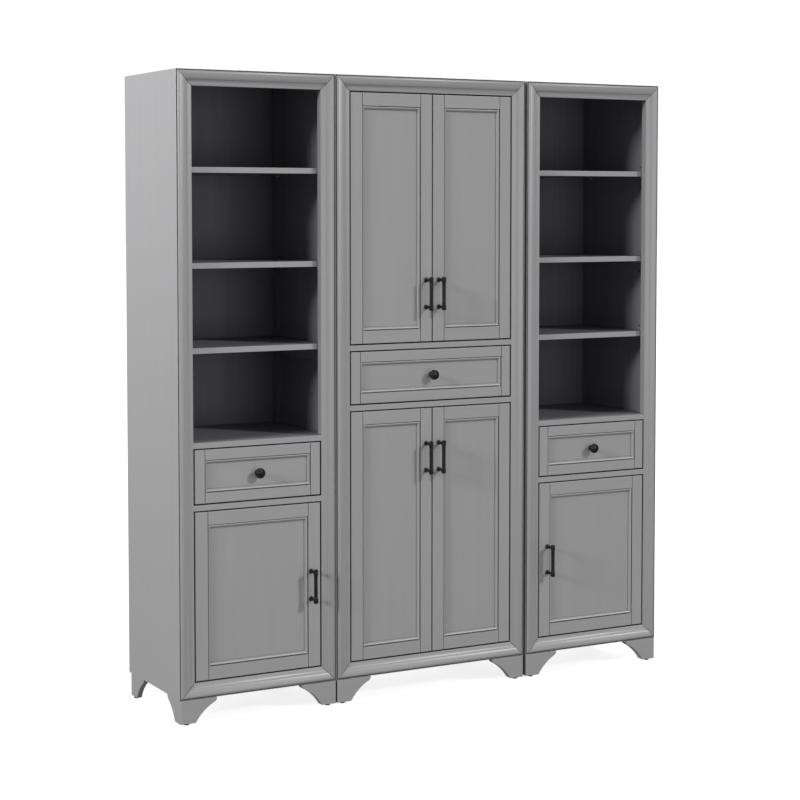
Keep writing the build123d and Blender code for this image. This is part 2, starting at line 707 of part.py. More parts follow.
def add_door(name, x0, x1, z0, z1, hinged_left, pull_inset, pull_z):
    """A framed door with two hinges and a pull, between x0 and x1."""
    width = x1 - x0
    height = z1 - z0
    members, panel = framed_front(width, height, DOOR_FACE_W)
    levels = (HINGE_FROM_END, height - HINGE_FROM_END)
    members = [drilled(member, levels) for member in members]
    place = Pos(x0, FACE_Y, z0)
    if not hinged_left:
        place = place * Pos(width, 0, 0)
    for member in members:
        add(f"{name}_door_frame", place * turned(member, hinged_left))
    add(f"{name}_door_panel", place * turned(panel, hinged_left))
    for z in levels:
        add(f"{name}_door_hinge_cups", place * turned(hinge_cup(z), hinged_left))
        add("hinge_arms", place * turned(hinge_arm(z), hinged_left))
    pull = Pos(width - pull_inset, 0, pull_z - z0) * pull_handle()
    add(f"{name}_door_handle", place * turned(pull, hinged_left))


def drilled(member, levels):
    """A door member with the hinge cups' bores cut where they reach it."""
    for z in levels:
        member = member - cup_bore(z)
    return member


def turned(shape, hinged_left):
    """The shape as it is, or its mirror image for a door hinged on the right."""
    return shape if hinged_left else mirror(shape, Plane.YZ)


def add_drawer(name, x0, width, z0, z1):
    """A drawer with a framed front, a box, telescopic slides and a knob."""
    front_x0 = x0 + FRAME_W + SIDE_GAP
    front_x1 = x0 + width - FRAME_W - SIDE_GAP
    members, panel = framed_front(front_x1 - front_x0, z1 - z0, DRAWER_FACE_W)
    place = Pos(front_x0, FACE_Y, z0)
    add(f"{name}_drawer_front", *[place * piece for piece in members + [panel]])
    middle_x = x0 + width / 2
    add(f"{name}_drawer_knob", Pos(middle_x, FACE_Y + PANEL_RECESS, (z0 + z1) / 2) * knob())
    box_x0 = x0 + FRAME_W + SLIDE_T
    box_x1 = x0 + width - FRAME_W - SLIDE_T
    add(f"{name}_drawer_box", *drawer_box(box_x0, box_x1, FRONT_BACK_Y, z0 + DRAWER_BOX_UP))
    outer, middle, inner = slide_rails(FRAME_W, SLIDE_Y, slide_level(z0))
    unit_place = Pos(x0, 0, 0)
    packer = slide_packer(z0)
    add("battens_and_packers", unit_place * packer, unit_place * flip(packer, width))
    for node, rail in (
        ("slide_outer_rails", outer),
        (f"{name}_drawer_middle_rails", middle),
        (f"{name}_drawer_inner_rails", inner),
    ):
        add(node, unit_place * rail, unit_place * flip(rail, width))


def add_battens(x0, width, z0, z1, left, right):
    """Hinge battens beside a cupboard, on the sides that carry hinges."""
    batten = hinge_batten(z0, z1)
    if left:
        add("battens_and_packers", Pos(x0, 0, 0) * batten)
    if right:
        add("battens_and_packers", Pos(x0, 0, 0) * flip(batten, width))


def add_tower(name, x0, hinged_left, seams):
    """A shelf tower: open bays over a drawer over a cupboard."""
    bay_front = FRAME_BACK_Y + SHELF_FRONT_GAP
    shelves = [(top, bay_front) for top in BAY_SHELF_TOPS]
    shelves.append((TOWER_CUPBOARD_SHELF_TOP, FRONT_Y + CUPBOARD_SHELF_SETBACK))
    add_carcass(name, x0, TOWER_W, (TOWER_DIVIDER_Z, TOWER_DECK_Z), shelves, seams)
    add_battens(x0, TOWER_W, OPENING_Z0, TOWER_DIVIDER_Z, hinged_left, not hinged_left)
    door_x0 = x0 + FRAME_W + SIDE_GAP
    door_x1 = x0 + TOWER_W - FRAME_W - SIDE_GAP
    door_z0 = OPENING_Z0 + END_GAP
    door_z1 = TOWER_DIVIDER_Z - END_GAP
    add_door(name, door_x0, door_x1, door_z0, door_z1, hinged_left, TOWER_PULL_INSET, TOWER_PULL_Z)
    add_drawer(name, x0, TOWER_W, TOWER_DIVIDER_Z + BOARD_T + END_GAP, TOWER_DECK_Z - END_GAP)


def add_pantry(name, x0, seams):
    """The pantry cabinet: a pair of doors, a wide drawer and a second pair of doors."""
    shelf_front = FRONT_Y + CUPBOARD_SHELF_SETBACK
    tops = (PANTRY_LOWER_SHELF_TOP,) + PANTRY_UPPER_SHELF_TOPS
    boards = (PANTRY_LOWER_RAIL_Z, PANTRY_UPPER_RAIL_Z)
    add_carcass(name, x0, PANTRY_W, boards, [(top, shelf_front) for top in tops], seams)
    lower = (OPENING_Z0, PANTRY_LOWER_RAIL_Z, PANTRY_LOWER_PULL_Z)
    upper = (PANTRY_UPPER_RAIL_Z + BOARD_T, OPENING_Z1, PANTRY_UPPER_PULL_Z)
    left_x0 = x0 + FRAME_W + SIDE_GAP
    right_x1 = x0 + PANTRY_W - FRAME_W - SIDE_GAP
    middle_x = (left_x0 + right_x1) / 2
    for level, (z0, z1, pull_z) in (("lower", lower), ("upper", upper)):
        door_z0 = z0 + END_GAP
        door_z1 = z1 - END_GAP
        add_battens(x0, PANTRY_W, z0, min(z1, HEIGHT - BOARD_T), True, True)
        add_door(
            f"{name}_{level}_left", left_x0, middle_x - MEETING_GAP / 2, door_z0, door_z1,
            True, PANTRY_PULL_INSET, pull_z,
        )
        add_door(
            f"{name}_{level}_right", middle_x + MEETING_GAP / 2, right_x1, door_z0, door_z1,
            False, PANTRY_PULL_INSET, pull_z,
        )
    add_drawer(name, x0, PANTRY_W, PANTRY_LOWER_RAIL_Z + BOARD_T + END_GAP, PANTRY_UPPER_RAIL_Z - END_GAP)


def add_joining_plates(seam_x0, seam_x1):
    """Steel plates and screws that tie two neighbouring sides together at the back."""
    left_screw_x = seam_x0 - SIDE_INSET - PLATE_SCREW_FROM_EDGE
    right_screw_x = seam_x1 + SIDE_INSET + PLATE_SCREW_FROM_EDGE
    middle = (seam_x0 + seam_x1) / 2
    for level in PLATE_LEVELS:
        z0 = level - PLATE_H / 2
        plate = block(middle - PLATE_END, middle + PLATE_END, BACK_Y, BACK_Y + PLATE_T, z0, z0 + PLATE_H)
        for x in (left_screw_x, right_screw_x):
            for z in (level - PLATE_SCREW_PITCH / 2, level + PLATE_SCREW_PITCH / 2):
                plate -= rod_y(SCREW_R, x, BACK_Y, BACK_Y + PLATE_T, z)
                shank = rod_y(SCREW_R, x, BACK_Y - SCREW_L, BACK_Y + PLATE_T, z)
                head = rod_y(SCREW_HEAD_R, x, BACK_Y + PLATE_T, BACK_Y + BACK_PROUD, z)
                add("joining_screws", shank + head)
        add("joining_plates", plate)


add_tower("left_tower", LEFT_X, True, (False, True))
add_pantry("pantry", PANTRY_X, (True, True))
add_tower("right_tower", RIGHT_X, False, (True, False))
add_joining_plates(LEFT_X + TOWER_W, PANTRY_X)
add_joining_plates(PANTRY_X + PANTRY_W, RIGHT_X)
save()
print(f"{len(NODES)} nodes, {sum(len(solids) for solids in NODES.values())} solids")
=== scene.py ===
# %% [markdown]
# # A three-piece pantry set, painted grey
#
# The set is a shelf tower, a pantry cabinet and a second shelf tower. Its boards, doors, drawers and
# hinges come in from the design model, and this script gives them their finish: eased edges, brushed
# paint with dark glaze in the joints that also serves as painted shade in creases and gaps, turned bronze
# handles, screws and nails, soft light and a camera.
# The design model is loaded first, because every piece takes its place from it.

# %% Load the design model
import json
import math

import bmesh
import bpy
from mathutils import Matrix, Vector


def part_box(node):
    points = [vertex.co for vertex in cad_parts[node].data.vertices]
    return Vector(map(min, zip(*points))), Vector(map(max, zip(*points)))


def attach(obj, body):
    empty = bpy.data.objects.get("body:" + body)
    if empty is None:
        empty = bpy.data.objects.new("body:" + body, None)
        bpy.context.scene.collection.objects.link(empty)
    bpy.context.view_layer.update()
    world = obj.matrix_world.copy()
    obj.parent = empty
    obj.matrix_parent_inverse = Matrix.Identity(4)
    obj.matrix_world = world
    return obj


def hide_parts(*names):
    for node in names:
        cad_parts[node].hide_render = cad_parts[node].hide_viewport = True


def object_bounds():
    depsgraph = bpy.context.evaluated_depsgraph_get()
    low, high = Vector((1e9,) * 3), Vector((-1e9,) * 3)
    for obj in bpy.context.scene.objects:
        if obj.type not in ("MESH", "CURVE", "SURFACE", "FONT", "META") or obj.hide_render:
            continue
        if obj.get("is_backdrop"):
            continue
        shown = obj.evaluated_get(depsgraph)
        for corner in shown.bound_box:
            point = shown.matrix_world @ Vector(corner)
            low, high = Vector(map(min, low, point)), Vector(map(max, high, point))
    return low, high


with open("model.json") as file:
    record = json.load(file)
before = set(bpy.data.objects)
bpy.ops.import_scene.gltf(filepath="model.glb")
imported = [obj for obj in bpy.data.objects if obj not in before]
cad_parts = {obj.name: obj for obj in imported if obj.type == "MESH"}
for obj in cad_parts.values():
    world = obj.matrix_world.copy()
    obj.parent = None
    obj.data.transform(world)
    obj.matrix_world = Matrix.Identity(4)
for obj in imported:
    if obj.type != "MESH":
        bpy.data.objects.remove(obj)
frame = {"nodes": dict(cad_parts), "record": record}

SCENE = bpy.context.scene
design_low, design_high = [Vector(corner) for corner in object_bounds()]
print("design box", [round(v, 4) for v in design_low], [round(v, 4) for v in design_high])

# %% Names that the rest of the script works through
BODY_OF = {n: body for body, nodes in frame["record"]["behaviour"]["bodies"].items() for n in nodes}
SLOT_OF = {part["node"]: part["material_slot"] for part in frame["record"]["subparts"]}
UNITS = ("left_tower", "pantry", "right_tower")
TOWERS = ("left_tower", "right_tower")
DOORS = [body[: -len("_door")] for body in BODY_OF.values() if body.endswith("_door")]
DOORS = sorted(set(DOORS))
UNIT_BOX = {unit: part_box(f"{unit}_face_frame") for unit in UNITS}
UNIT_MIDDLE = {unit: (box[0].x + box[1].x) / 2 for unit, box in UNIT_BOX.items()}
MM = 0.001

# %% [markdown]
# ## Shader groups
#
# An effect that several finishes share is a node group, built once. Here they are the brushed streaks
# that run along each board, the dark glaze in the joints, which also paints shade into creases, gaps
# and recesses, the wear on the arrises and the small soft unevenness that every surface has. Each group
# puts out a mask from 0 to 1, and each material decides what the mask does.

# %% Two small helpers for node trees
def node(tree, kind, **settings):
    """A new node with its settings made."""
    made = tree.nodes.new(kind)
    for name, value in settings.items():
        setattr(made, name, value)
    return made


def shader_group(name, inputs, outputs):
    """An empty shader group with named sockets, and its two end nodes."""
    group = bpy.data.node_groups.new(name, "ShaderNodeTree")
    for label, kind, default in inputs:
        socket = group.interface.new_socket(name=label, in_out="INPUT", socket_type=kind)
        if default is not None:
            socket.default_value = default
    for label, kind in outputs:
        group.interface.new_socket(name=label, in_out="OUTPUT", socket_type=kind)
    return group, node(group, "NodeGroupInput"), node(group, "NodeGroupOutput")


FLOAT = "NodeSocketFloat"
VECTOR = "NodeSocketVector"

# %% Brushed streaks along a board
def make_streaks():
    """Fine lines along U and soft cloudy bands, as a brush or a sanding belt leaves them."""
    group, start, end = shader_group(
        "brushed_streaks",
        [("Vector", VECTOR, None), ("Along", FLOAT, 6.0), ("Across", FLOAT, 900.0), ("Contrast", FLOAT, 1.0)],
        [("Streaks", FLOAT), ("Bands", FLOAT)],
    )
    parts = node(group, "ShaderNodeSeparateXYZ")
    group.links.new(start.outputs["Vector"], parts.inputs[0])
    for label, share, detail in (("Streaks", 1.0, 3.0), ("Bands", 0.045, 1.5)):
        place = node(group, "ShaderNodeCombineXYZ")
        for axis, source in (("X", "Along"), ("Y", "Across")):
            scaled = node(group, "ShaderNodeMath", operation="MULTIPLY")
            group.links.new(parts.outputs[axis], scaled.inputs[0])
            finer = node(group, "ShaderNodeMath", operation="MULTIPLY")
            group.links.new(start.outputs[source], finer.inputs[0])
            finer.inputs[1].default_value = share if axis == "Y" else share ** 0.25
            group.links.new(finer.outputs[0], scaled.inputs[1])
            group.links.new(scaled.outputs[0], place.inputs[axis])
        noise = node(group, "ShaderNodeTexNoise")
        noise.inputs["Scale"].default_value = 1.0
        noise.inputs["Detail"].default_value = detail
        group.links.new(place.outputs[0], noise.inputs["Vector"])
        centred = node(group, "ShaderNodeMath", operation="SUBTRACT")
        group.links.new(noise.outputs["Fac"], centred.inputs[0])
        centred.inputs[1].default_value = 0.5
        strong = node(group, "ShaderNodeMath", operation="MULTIPLY_ADD", use_clamp=True)
        group.links.new(centred.outputs[0], strong.inputs[0])
        group.links.new(start.outputs["Contrast"], strong.inputs[1])
        strong.inputs[2].default_value = 0.5
        group.links.new(strong.outputs[0], end.inputs[label])
    return group


# %% Glaze and painted shade in the joints, and wear on the arrises
def make_hollows(name, inside, low, high):
    """A mask of the places that are shut in, or of the sharp edges when it looks inside the piece."""
    group, start, end = shader_group(
        name,
        [("Reach", FLOAT, 0.006), ("Breakup", FLOAT, 0.35), ("Vector", VECTOR, None)],
        [("Mask", FLOAT)],
    )
    shut = node(group, "ShaderNodeAmbientOcclusion", inside=inside, samples=8)
    group.links.new(start.outputs["Reach"], shut.inputs["Distance"])
    ramp = node(group, "ShaderNodeMapRange", clamp=True)
    ramp.inputs["From Min"].default_value = high
    ramp.inputs["From Max"].default_value = low
    group.links.new(shut.outputs["AO"], ramp.inputs["Value"])
    noise = node(group, "ShaderNodeTexNoise")
    noise.inputs["Scale"].default_value = 90.0
    noise.inputs["Detail"].default_value = 2.0
    group.links.new(start.outputs["Vector"], noise.inputs["Vector"])
    patch = node(group, "ShaderNodeMapRange", clamp=True)
    patch.inputs["From Min"].default_value = 0.35
    patch.inputs["From Max"].default_value = 0.65
    group.links.new(noise.outputs["Fac"], patch.inputs["Value"])
    kept = node(group, "ShaderNodeMath", operation="SUBTRACT")
    kept.inputs[0].default_value = 1.0
    group.links.new(start.outputs["Breakup"], kept.inputs[1])
    amount = node(group, "ShaderNodeMath", operation="MULTIPLY_ADD", use_clamp=True)
    group.links.new(patch.outputs[0], amount.inputs[0])
    group.links.new(start.outputs["Breakup"], amount.inputs[1])
    group.links.new(kept.outputs[0], amount.inputs[2])
    mask = node(group, "ShaderNodeMath", operation="MULTIPLY")
    group.links.new(ramp.outputs[0], mask.inputs[0])
    group.links.new(amount.outputs[0], mask.inputs[1])
    group.links.new(mask.outputs[0], end.inputs["Mask"])
    return group


STREAKS = make_streaks()
# Dark glaze where ambient occlusion finds creases, gaps and recesses: partly a real glaze, partly painted shade.
GLAZE_AND_SHADE = make_hollows("joint_glaze_and_painted_shade", False, 0.35, 0.85)
WEAR = make_hollows("arris_wear", True, 0.25, 0.8)
print("shader groups:", [group.name for group in (STREAKS, GLAZE_AND_SHADE, WEAR)])

# %% A plain start for every material
def new_material(name, rough, metallic=0.0, specular=0.5, coat=0.0, coat_rough=0.2):
    """A material with its Principled shader, whose constants sit on the shader itself."""
    material = bpy.data.materials.new(name)
    material.use_nodes = True
    tree = material.node_tree
    shader = tree.nodes["Principled BSDF"]
    shader.inputs["Roughness"].default_value = rough
    shader.inputs["Metallic"].default_value = metallic
    shader.inputs["Specular IOR Level"].default_value = specular
    shader.inputs["Coat Weight"].default_value = coat
    shader.inputs["Coat Roughness"].default_value = coat_rough
    return material, tree, shader


def mix_colour(tree, mask, first, second):
    """Mixes two colours by a mask; each colour is a socket or a plain colour."""
    mix = node(tree, "ShaderNodeMix", data_type="RGBA")
    tree.links.new(mask, mix.inputs["Factor"])
    for slot_index, colour in ((6, first), (7, second)):
        if isinstance(colour, bpy.types.NodeSocket):
            tree.links.new(colour, mix.inputs[slot_index])
        else:
            mix.inputs[slot_index].default_value = (*colour, 1.0)
    return mix.outputs[2]


def ranged(tree, value, low, high, new_low, new_high):
    """Maps a value from one range to another."""
    ramp = node(tree, "ShaderNodeMapRange", clamp=True)
    for label, number in (("From Min", low), ("From Max", high), ("To Min", new_low), ("To Max", new_high)):
        ramp.inputs[label].default_value = number
    tree.links.new(value, ramp.inputs["Value"])
    return ramp.outputs[0]


def bumped(tree, shader, height, distance, strength=1.0):
    """Feeds a height into the shader's normal."""
    bump = node(tree, "ShaderNodeBump")
    bump.inputs["Distance"].default_value = distance
    bump.inputs["Strength"].default_value = strength
    tree.links.new(height, bump.inputs["Height"])
    tree.links.new(bump.outputs["Normal"], shader.inputs["Normal"])


def placed_group(tree, group, vector=None, **values):
    """A shader group in a material, with this material's own values."""
    made = node(tree, "ShaderNodeGroup", node_tree=group)
    for label, value in values.items():
        made.inputs[label.replace("_", " ")].default_value = value
    if vector is not None:
        tree.links.new(vector, made.inputs["Vector"])
    return made


# %% [markdown]
# ## The paint
#
# The fronts are sprayed a mid grey, rubbed back along the grain and wiped with a dark glaze that stays
# in the joints; the same dark mask also paints shade into creases, gaps and recesses. A board's own UV
# map runs along its length, so the streaks turn the right way on each stile and rail. The streaks change
# the colour a little, the roughness a little and the height by a few hundredths of a millimetre.

# %% Grey paint
GRAIN_MAP = "grain"
GREY = (0.222, 0.222, 0.227)
GREY_LIGHT = (0.242, 0.242, 0.247)
GREY_DARK = (0.202, 0.202, 0.207)
# The glaze colour, used both for real glaze and for painted shade in creases and gaps.
GLAZE_AND_SHADE_COLOUR = (0.030, 0.030, 0.033)
WORN_COLOUR = (0.600, 0.600, 0.605)
# The inner charcoals are partly dark paint and partly painted shade for the dim bays.
CHARCOAL_AND_SHADE_SIDES = (0.118, 0.118, 0.132)
CHARCOAL_AND_SHADE_BACK = (0.104, 0.105, 0.117)


def grey_paint(name, colour, light, dark, glaze_and_shade=0.92, wear=0.6, shade_fade=None, inner=None, coat=0.25):
    """Brushed paint. With shade_fade, it turns to the inner colour between two depths behind the fronts: painted shade
    for the light falling off into the bays.
    """
    material, tree, shader = new_material(name, 0.42, specular=0.25 + coat, coat=coat, coat_rough=0.36)
    run = node(tree, "ShaderNodeUVMap", uv_map=GRAIN_MAP).outputs["UV"]
    place = node(tree, "ShaderNodeTexCoord").outputs["Object"]
    streaks = placed_group(tree, STREAKS, run, Along=4.0, Across=900.0, Contrast=1.6)
    base = mix_colour(tree, streaks.outputs["Bands"], dark, light)
    base = mix_colour(tree, ranged(tree, streaks.outputs["Streaks"], 0, 1, 0.22, 0.78), base, colour)
    fine = mix_colour(tree, streaks.outputs["Streaks"], dark, light)
    base = mix_colour(tree, ranged(tree, streaks.outputs["Bands"], 0, 1, 0.35, 0.55), base, fine)
    # Painted shade: the colour falls off to the dark inner colour with depth behind the fronts.
    if shade_fade:
        depth = node(tree, "ShaderNodeSeparateXYZ")
        tree.links.new(place, depth.inputs[0])
        lighter = tuple(channel * 1.25 for channel in inner)
        within = mix_colour(tree, streaks.outputs["Bands"], inner, lighter)
        base = mix_colour(tree, ranged(tree, depth.outputs["Y"], shade_fade[0], shade_fade[1], 0, 1), base, within)
    worn = placed_group(tree, WEAR, place, Reach=0.0016, Breakup=0.8)
    base = mix_colour(tree, ranged(tree, worn.outputs[0], 0, 1, 0, wear), base, WORN_COLOUR)
    # Painted shade and glaze: the colour goes dark where the occlusion mask finds creases, gaps and recesses.
    joints = placed_group(tree, GLAZE_AND_SHADE, place, Reach=0.006, Breakup=0.25)
    base = mix_colour(tree, ranged(tree, joints.outputs[0], 0, 1, 0, glaze_and_shade), base, GLAZE_AND_SHADE_COLOUR)
    tree.links.new(base, shader.inputs["Base Color"])
    tree.links.new(ranged(tree, streaks.outputs["Streaks"], 0, 1, 0.36, 0.50), shader.inputs["Roughness"])
    bumped(tree, shader, streaks.outputs["Streaks"], 0.00006)
    return material


FRONT_Y = UNIT_BOX["pantry"][0].y
FRAME_BACK_Y = UNIT_BOX["pantry"][1].y
# Depths over which the painted shade darkens the grey to the inner charcoal.
SHADE_FADE = (FRAME_BACK_Y - 0.004, FRAME_BACK_Y + 0.042)
PAINT = grey_paint("grey_paint", GREY, GREY_LIGHT, GREY_DARK)
INSIDE = grey_paint("charcoal_and_painted_shade_inside", GREY, GREY_LIGHT, GREY_DARK, 0.6, 0.05, SHADE_FADE, CHARCOAL_AND_SHADE_SIDES, 0.0)
INNER_BACK = grey_paint("charcoal_and_painted_shade_back", GREY, GREY_LIGHT, GREY_DARK, 0.4, 0.0, SHADE_FADE, CHARCOAL_AND_SHADE_BACK, 0.0)
print("paint fades inside between", [round(v, 4) for v in SHADE_FADE])

# %% [markdown]
# ## Bare boards and metal
#
# The drawer boxes are clear-lacquered pale wood with a wide figure along each board. The back is brown
# hardboard outside. Hinges and slides are plated steel, with the faint lines of the rolling mill, and
# the handles are oil-rubbed bronze that has worn lighter where fingers touch it.

# %% Lacquered wood and hardboard
def pale_wood():
    """Straight-grained pale wood with darker growth lines and fine pores."""
    material, tree, shader = new_material("drawer_wood", 0.45, specular=0.4, coat=0.15, coat_rough=0.3)
    run = node(tree, "ShaderNodeUVMap", uv_map=GRAIN_MAP).outputs["UV"]
    figure = placed_group(tree, STREAKS, run, Along=2.2, Across=160.0, Contrast=2.4)
    pores = placed_group(tree, STREAKS, run, Along=26.0, Across=2600.0, Contrast=1.6)
    base = mix_colour(tree, figure.outputs["Streaks"], (0.50, 0.33, 0.18), (0.70, 0.52, 0.33))
    base = mix_colour(tree, ranged(tree, pores.outputs["Streaks"], 0.1, 0.45, 0.35, 0), base, (0.34, 0.21, 0.11))
    base = mix_colour(tree, ranged(tree, figure.outputs["Bands"], 0, 1, 0, 0.3), base, (0.78, 0.62, 0.42))
    tree.links.new(base, shader.inputs["Base Color"])
    tree.links.new(ranged(tree, pores.outputs["Streaks"], 0, 1, 0.52, 0.38), shader.inputs["Roughness"])
    bumped(tree, shader, pores.outputs["Streaks"], 0.00008)
    return material


def hardboard():
    """Brown pressed fibre, smooth with a faint mottle."""
    material, tree, shader = new_material("hardboard", 0.62, specular=0.3)
    place = node(tree, "ShaderNodeTexCoord").outputs["Object"]
    masks = []
    for scale in (5.0, 1400.0):
        noise = node(tree, "ShaderNodeTexNoise")
        noise.inputs["Scale"].default_value = scale
        noise.inputs["Detail"].default_value = 4.0
        tree.links.new(place, noise.inputs["Vector"])
        masks.append(noise.outputs["Fac"])
    base = mix_colour(tree, ranged(tree, masks[0], 0.3, 0.7, 0, 1), (0.222, 0.141, 0.083), (0.248, 0.160, 0.095))
    base = mix_colour(tree, ranged(tree, masks[1], 0.35, 0.7, 0, 0.5), base, (0.36, 0.25, 0.16))
    tree.links.new(base, shader.inputs["Base Color"])
    tree.links.new(ranged(tree, masks[1], 0.3, 0.7, 0.55, 0.72), shader.inputs["Roughness"])
    bumped(tree, shader, masks[1], 0.00005)
    return material


# %% Plated steel, bronze and black plastic
def plated_steel(name, colour, rough):
    """Plated sheet steel with faint mill lines and soft cloudiness."""
    material, tree, shader = new_material(name, rough, metallic=1.0)
    run = node(tree, "ShaderNodeUVMap", uv_map=GRAIN_MAP).outputs["UV"]
    lines = placed_group(tree, STREAKS, run, Along=12.0, Across=1900.0, Contrast=1.3)
    darker = tuple(channel * 0.78 for channel in colour)
    base = mix_colour(tree, lines.outputs["Bands"], darker, colour)
    tree.links.new(base, shader.inputs["Base Color"])
    tree.links.new(ranged(tree, lines.outputs["Streaks"], 0, 1, rough - 0.06, rough + 0.1), shader.inputs["Roughness"])
    bumped(tree, shader, lines.outputs["Streaks"], 0.00002)
    return material


def bronze():
    """Oil-rubbed bronze: near black, browner and brighter on the arrises."""
    material, tree, shader = new_material("dark_bronze", 0.40, metallic=0.85)
    place = node(tree, "ShaderNodeTexCoord").outputs["Object"]
    cloud = node(tree, "ShaderNodeTexNoise")
    cloud.inputs["Scale"].default_value = 160.0
    cloud.inputs["Detail"].default_value = 4.0
    tree.links.new(place, cloud.inputs["Vector"])
    base = mix_colour(tree, ranged(tree, cloud.outputs["Fac"], 0.3, 0.7, 0, 1), (0.014, 0.013, 0.011), (0.032, 0.029, 0.024))
    worn = placed_group(tree, WEAR, place, Reach=0.0012, Breakup=0.55)
    base = mix_colour(tree, ranged(tree, worn.outputs[0], 0, 1, 0, 0.7), base, (0.13, 0.105, 0.075))
    tree.links.new(base, shader.inputs["Base Color"])
    tree.links.new(ranged(tree, cloud.outputs["Fac"], 0.3, 0.7, 0.30, 0.46), shader.inputs["Roughness"])
    bumped(tree, shader, cloud.outputs["Fac"], 0.00008)
    return material


def black_plastic():
    """Moulded black plastic with a fine spark-eroded grain."""
    material, tree, shader = new_material("black_plastic", 0.55, specular=0.4)
    place = node(tree, "ShaderNodeTexCoord").outputs["Object"]
    grain = node(tree, "ShaderNodeTexNoise")
    grain.inputs["Scale"].default_value = 1800.0
    tree.links.new(place, grain.inputs["Vector"])
    base = mix_colour(tree, grain.outputs["Fac"], (0.012, 0.012, 0.013), (0.030, 0.030, 0.032))
    tree.links.new(base, shader.inputs["Base Color"])
    tree.links.new(ranged(tree, grain.outputs["Fac"], 0.3, 0.7, 0.48, 0.62), shader.inputs["Roughness"])
    bumped(tree, shader, grain.outputs["Fac"], 0.00005)
    return material


WOOD = pale_wood()
BACK = hardboard()
NICKEL = plated_steel("nickel_steel", (0.66, 0.645, 0.61), 0.27)
ZINC = plated_steel("zinc_steel", (0.57, 0.585, 0.61), 0.33)
BRONZE = bronze()
PLASTIC = black_plastic()
print("materials:", [m.name for m in (PAINT, INSIDE, WOOD, BACK, NICKEL, ZINC, BRONZE, PLASTIC)])

# %% [markdown]
# ## Easing the edges
#
# A design model has perfectly sharp edges, and no real board has. Each painted or metal piece is copied,
# its loose triangles are joined back into whole faces, board by board, and a Bevel modifier
# rounds the arrises by half a millimetre so that they catch the light. The copy is made board by board,
# because two boards that touch would otherwise be welded into one.

# %% Find the boards in a piece
def boards_of(bm):
    """Lists of faces, one list for each closed solid: a solid is whole when each edge has met its partner."""
    waiting = set()
    solids, faces = [], []
    for face in bm.faces:
        corners = [tuple(round(c, 6) for c in vert.co) for vert in face.verts]
        for a, b in zip(corners, corners[1:] + corners[:1]):
            if (b, a) in waiting:
                waiting.remove((b, a))
            else:
                waiting.add((a, b))
        faces.append(face)
        if not waiting:
            solids.append(faces)
            faces = []
    if faces:
        solids.append(faces)
    return solids


def solid_boxes(name):
    """The low and high corner of each solid in a design piece."""
    bm = bmesh.new()
    bm.from_mesh(frame["nodes"][name].data)
    bm.faces.ensure_lookup_table()
    boxes = []
    for faces in boards_of(bm):
        points = [vert.co for face in faces for vert in face.verts]
        low = Vector([min(p[i] for p in points) for i in range(3)])
        high = Vector([max(p[i] for p in points) for i in range(3)])
        boxes.append((low, high))
    bm.free()
    return boxes


# %% Lay the grain along each board
def lay_grain(bm, solids, uv):
    """A UV map in metres: U runs along each board, V across it, and each board starts elsewhere."""
    for number, faces in enumerate(solids):
        points = [vert.co for face in faces for vert in face.verts]
        spans = [max(p[i] for p in points) - min(p[i] for p in points) for i in range(3)]
        along = spans.index(max(spans))
        shift = Vector((0.37, 0.61)) * (number + 1)
        for face in faces:
            flat = max(range(3), key=lambda i: abs(face.normal[i]))
            rest = [i for i in range(3) if i != flat]
            first = along if along in rest else rest[0]
            second = rest[0] if rest[1] == first else rest[1]
            for loop in face.loops:
                co = loop.vert.co
                loop[uv].uv = (co[first] + shift.x, co[second] + co[flat] + shift.y)


def clean_copy(name):
    """A mesh with the design piece's shape, whole faces, and grain laid."""
    bm = bmesh.new()
    bm.from_mesh(frame["nodes"][name].data)
    marks = bm.faces.layers.int.new("solid")
    uv = bm.loops.layers.uv.new(GRAIN_MAP)
    bm.faces.ensure_lookup_table()
    solids = boards_of(bm)
    for number, faces in enumerate(solids):
        for face in faces:
            face[marks] = number
    for faces in solids:
        verts = list({vert for face in faces for vert in face.verts})
        bmesh.ops.remove_doubles(bm, verts=verts, dist=2e-6)
    bmesh.ops.dissolve_limit(
        bm, angle_limit=math.radians(0.2), verts=bm.verts[:], edges=bm.edges[:], delimit={"NORMAL"}
    )
    grouped = {}
    for face in bm.faces:
        grouped.setdefault(face[marks], []).append(face)
    lay_grain(bm, [grouped[number] for number in sorted(grouped)], uv)
    mesh = bpy.data.meshes.new(f"{name}_finish")
    bm.to_mesh(mesh)
    bm.free()
    return mesh


# %% Finish a design piece
SMOOTH_UNDER = math.radians(32)


def shade(mesh, angle=SMOOTH_UNDER):
    """Smooth shading across gentle edges only."""
    mesh.polygons.foreach_set("use_smooth", [True] * len(mesh.polygons))
    mesh.set_sharp_from_angle(angle=angle)


def adopt(piece, body, slot_name, *nodes):
    """Ties a finished piece to its body and hides the design pieces it stands for; slot_name is not used."""
    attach(piece, body)
    if nodes:
        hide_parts(*nodes)


def finish(name, materials, ease, choose=None):
    """Replaces a design piece by a copy with eased edges; choose gives a face's material number."""
    mesh = clean_copy(name)
    for material in materials:
        mesh.materials.append(material)
    if choose:
        for face in mesh.polygons:
            face.material_index = choose(face)
    shade(mesh)
    piece = bpy.data.objects.new(f"{name}_finish", mesh)
    SCENE.collection.objects.link(piece)
    if ease:
        bevel = piece.modifiers.new("eased edges", "BEVEL")
        bevel.width = ease
        bevel.segments = 2
        bevel.limit_method = "ANGLE"
        bevel.angle_limit = math.radians(38)
        bevel.use_clamp_overlap = False
        bevel.harden_normals = True
    adopt(piece, BODY_OF[name], SLOT_OF[name], name)
    return piece


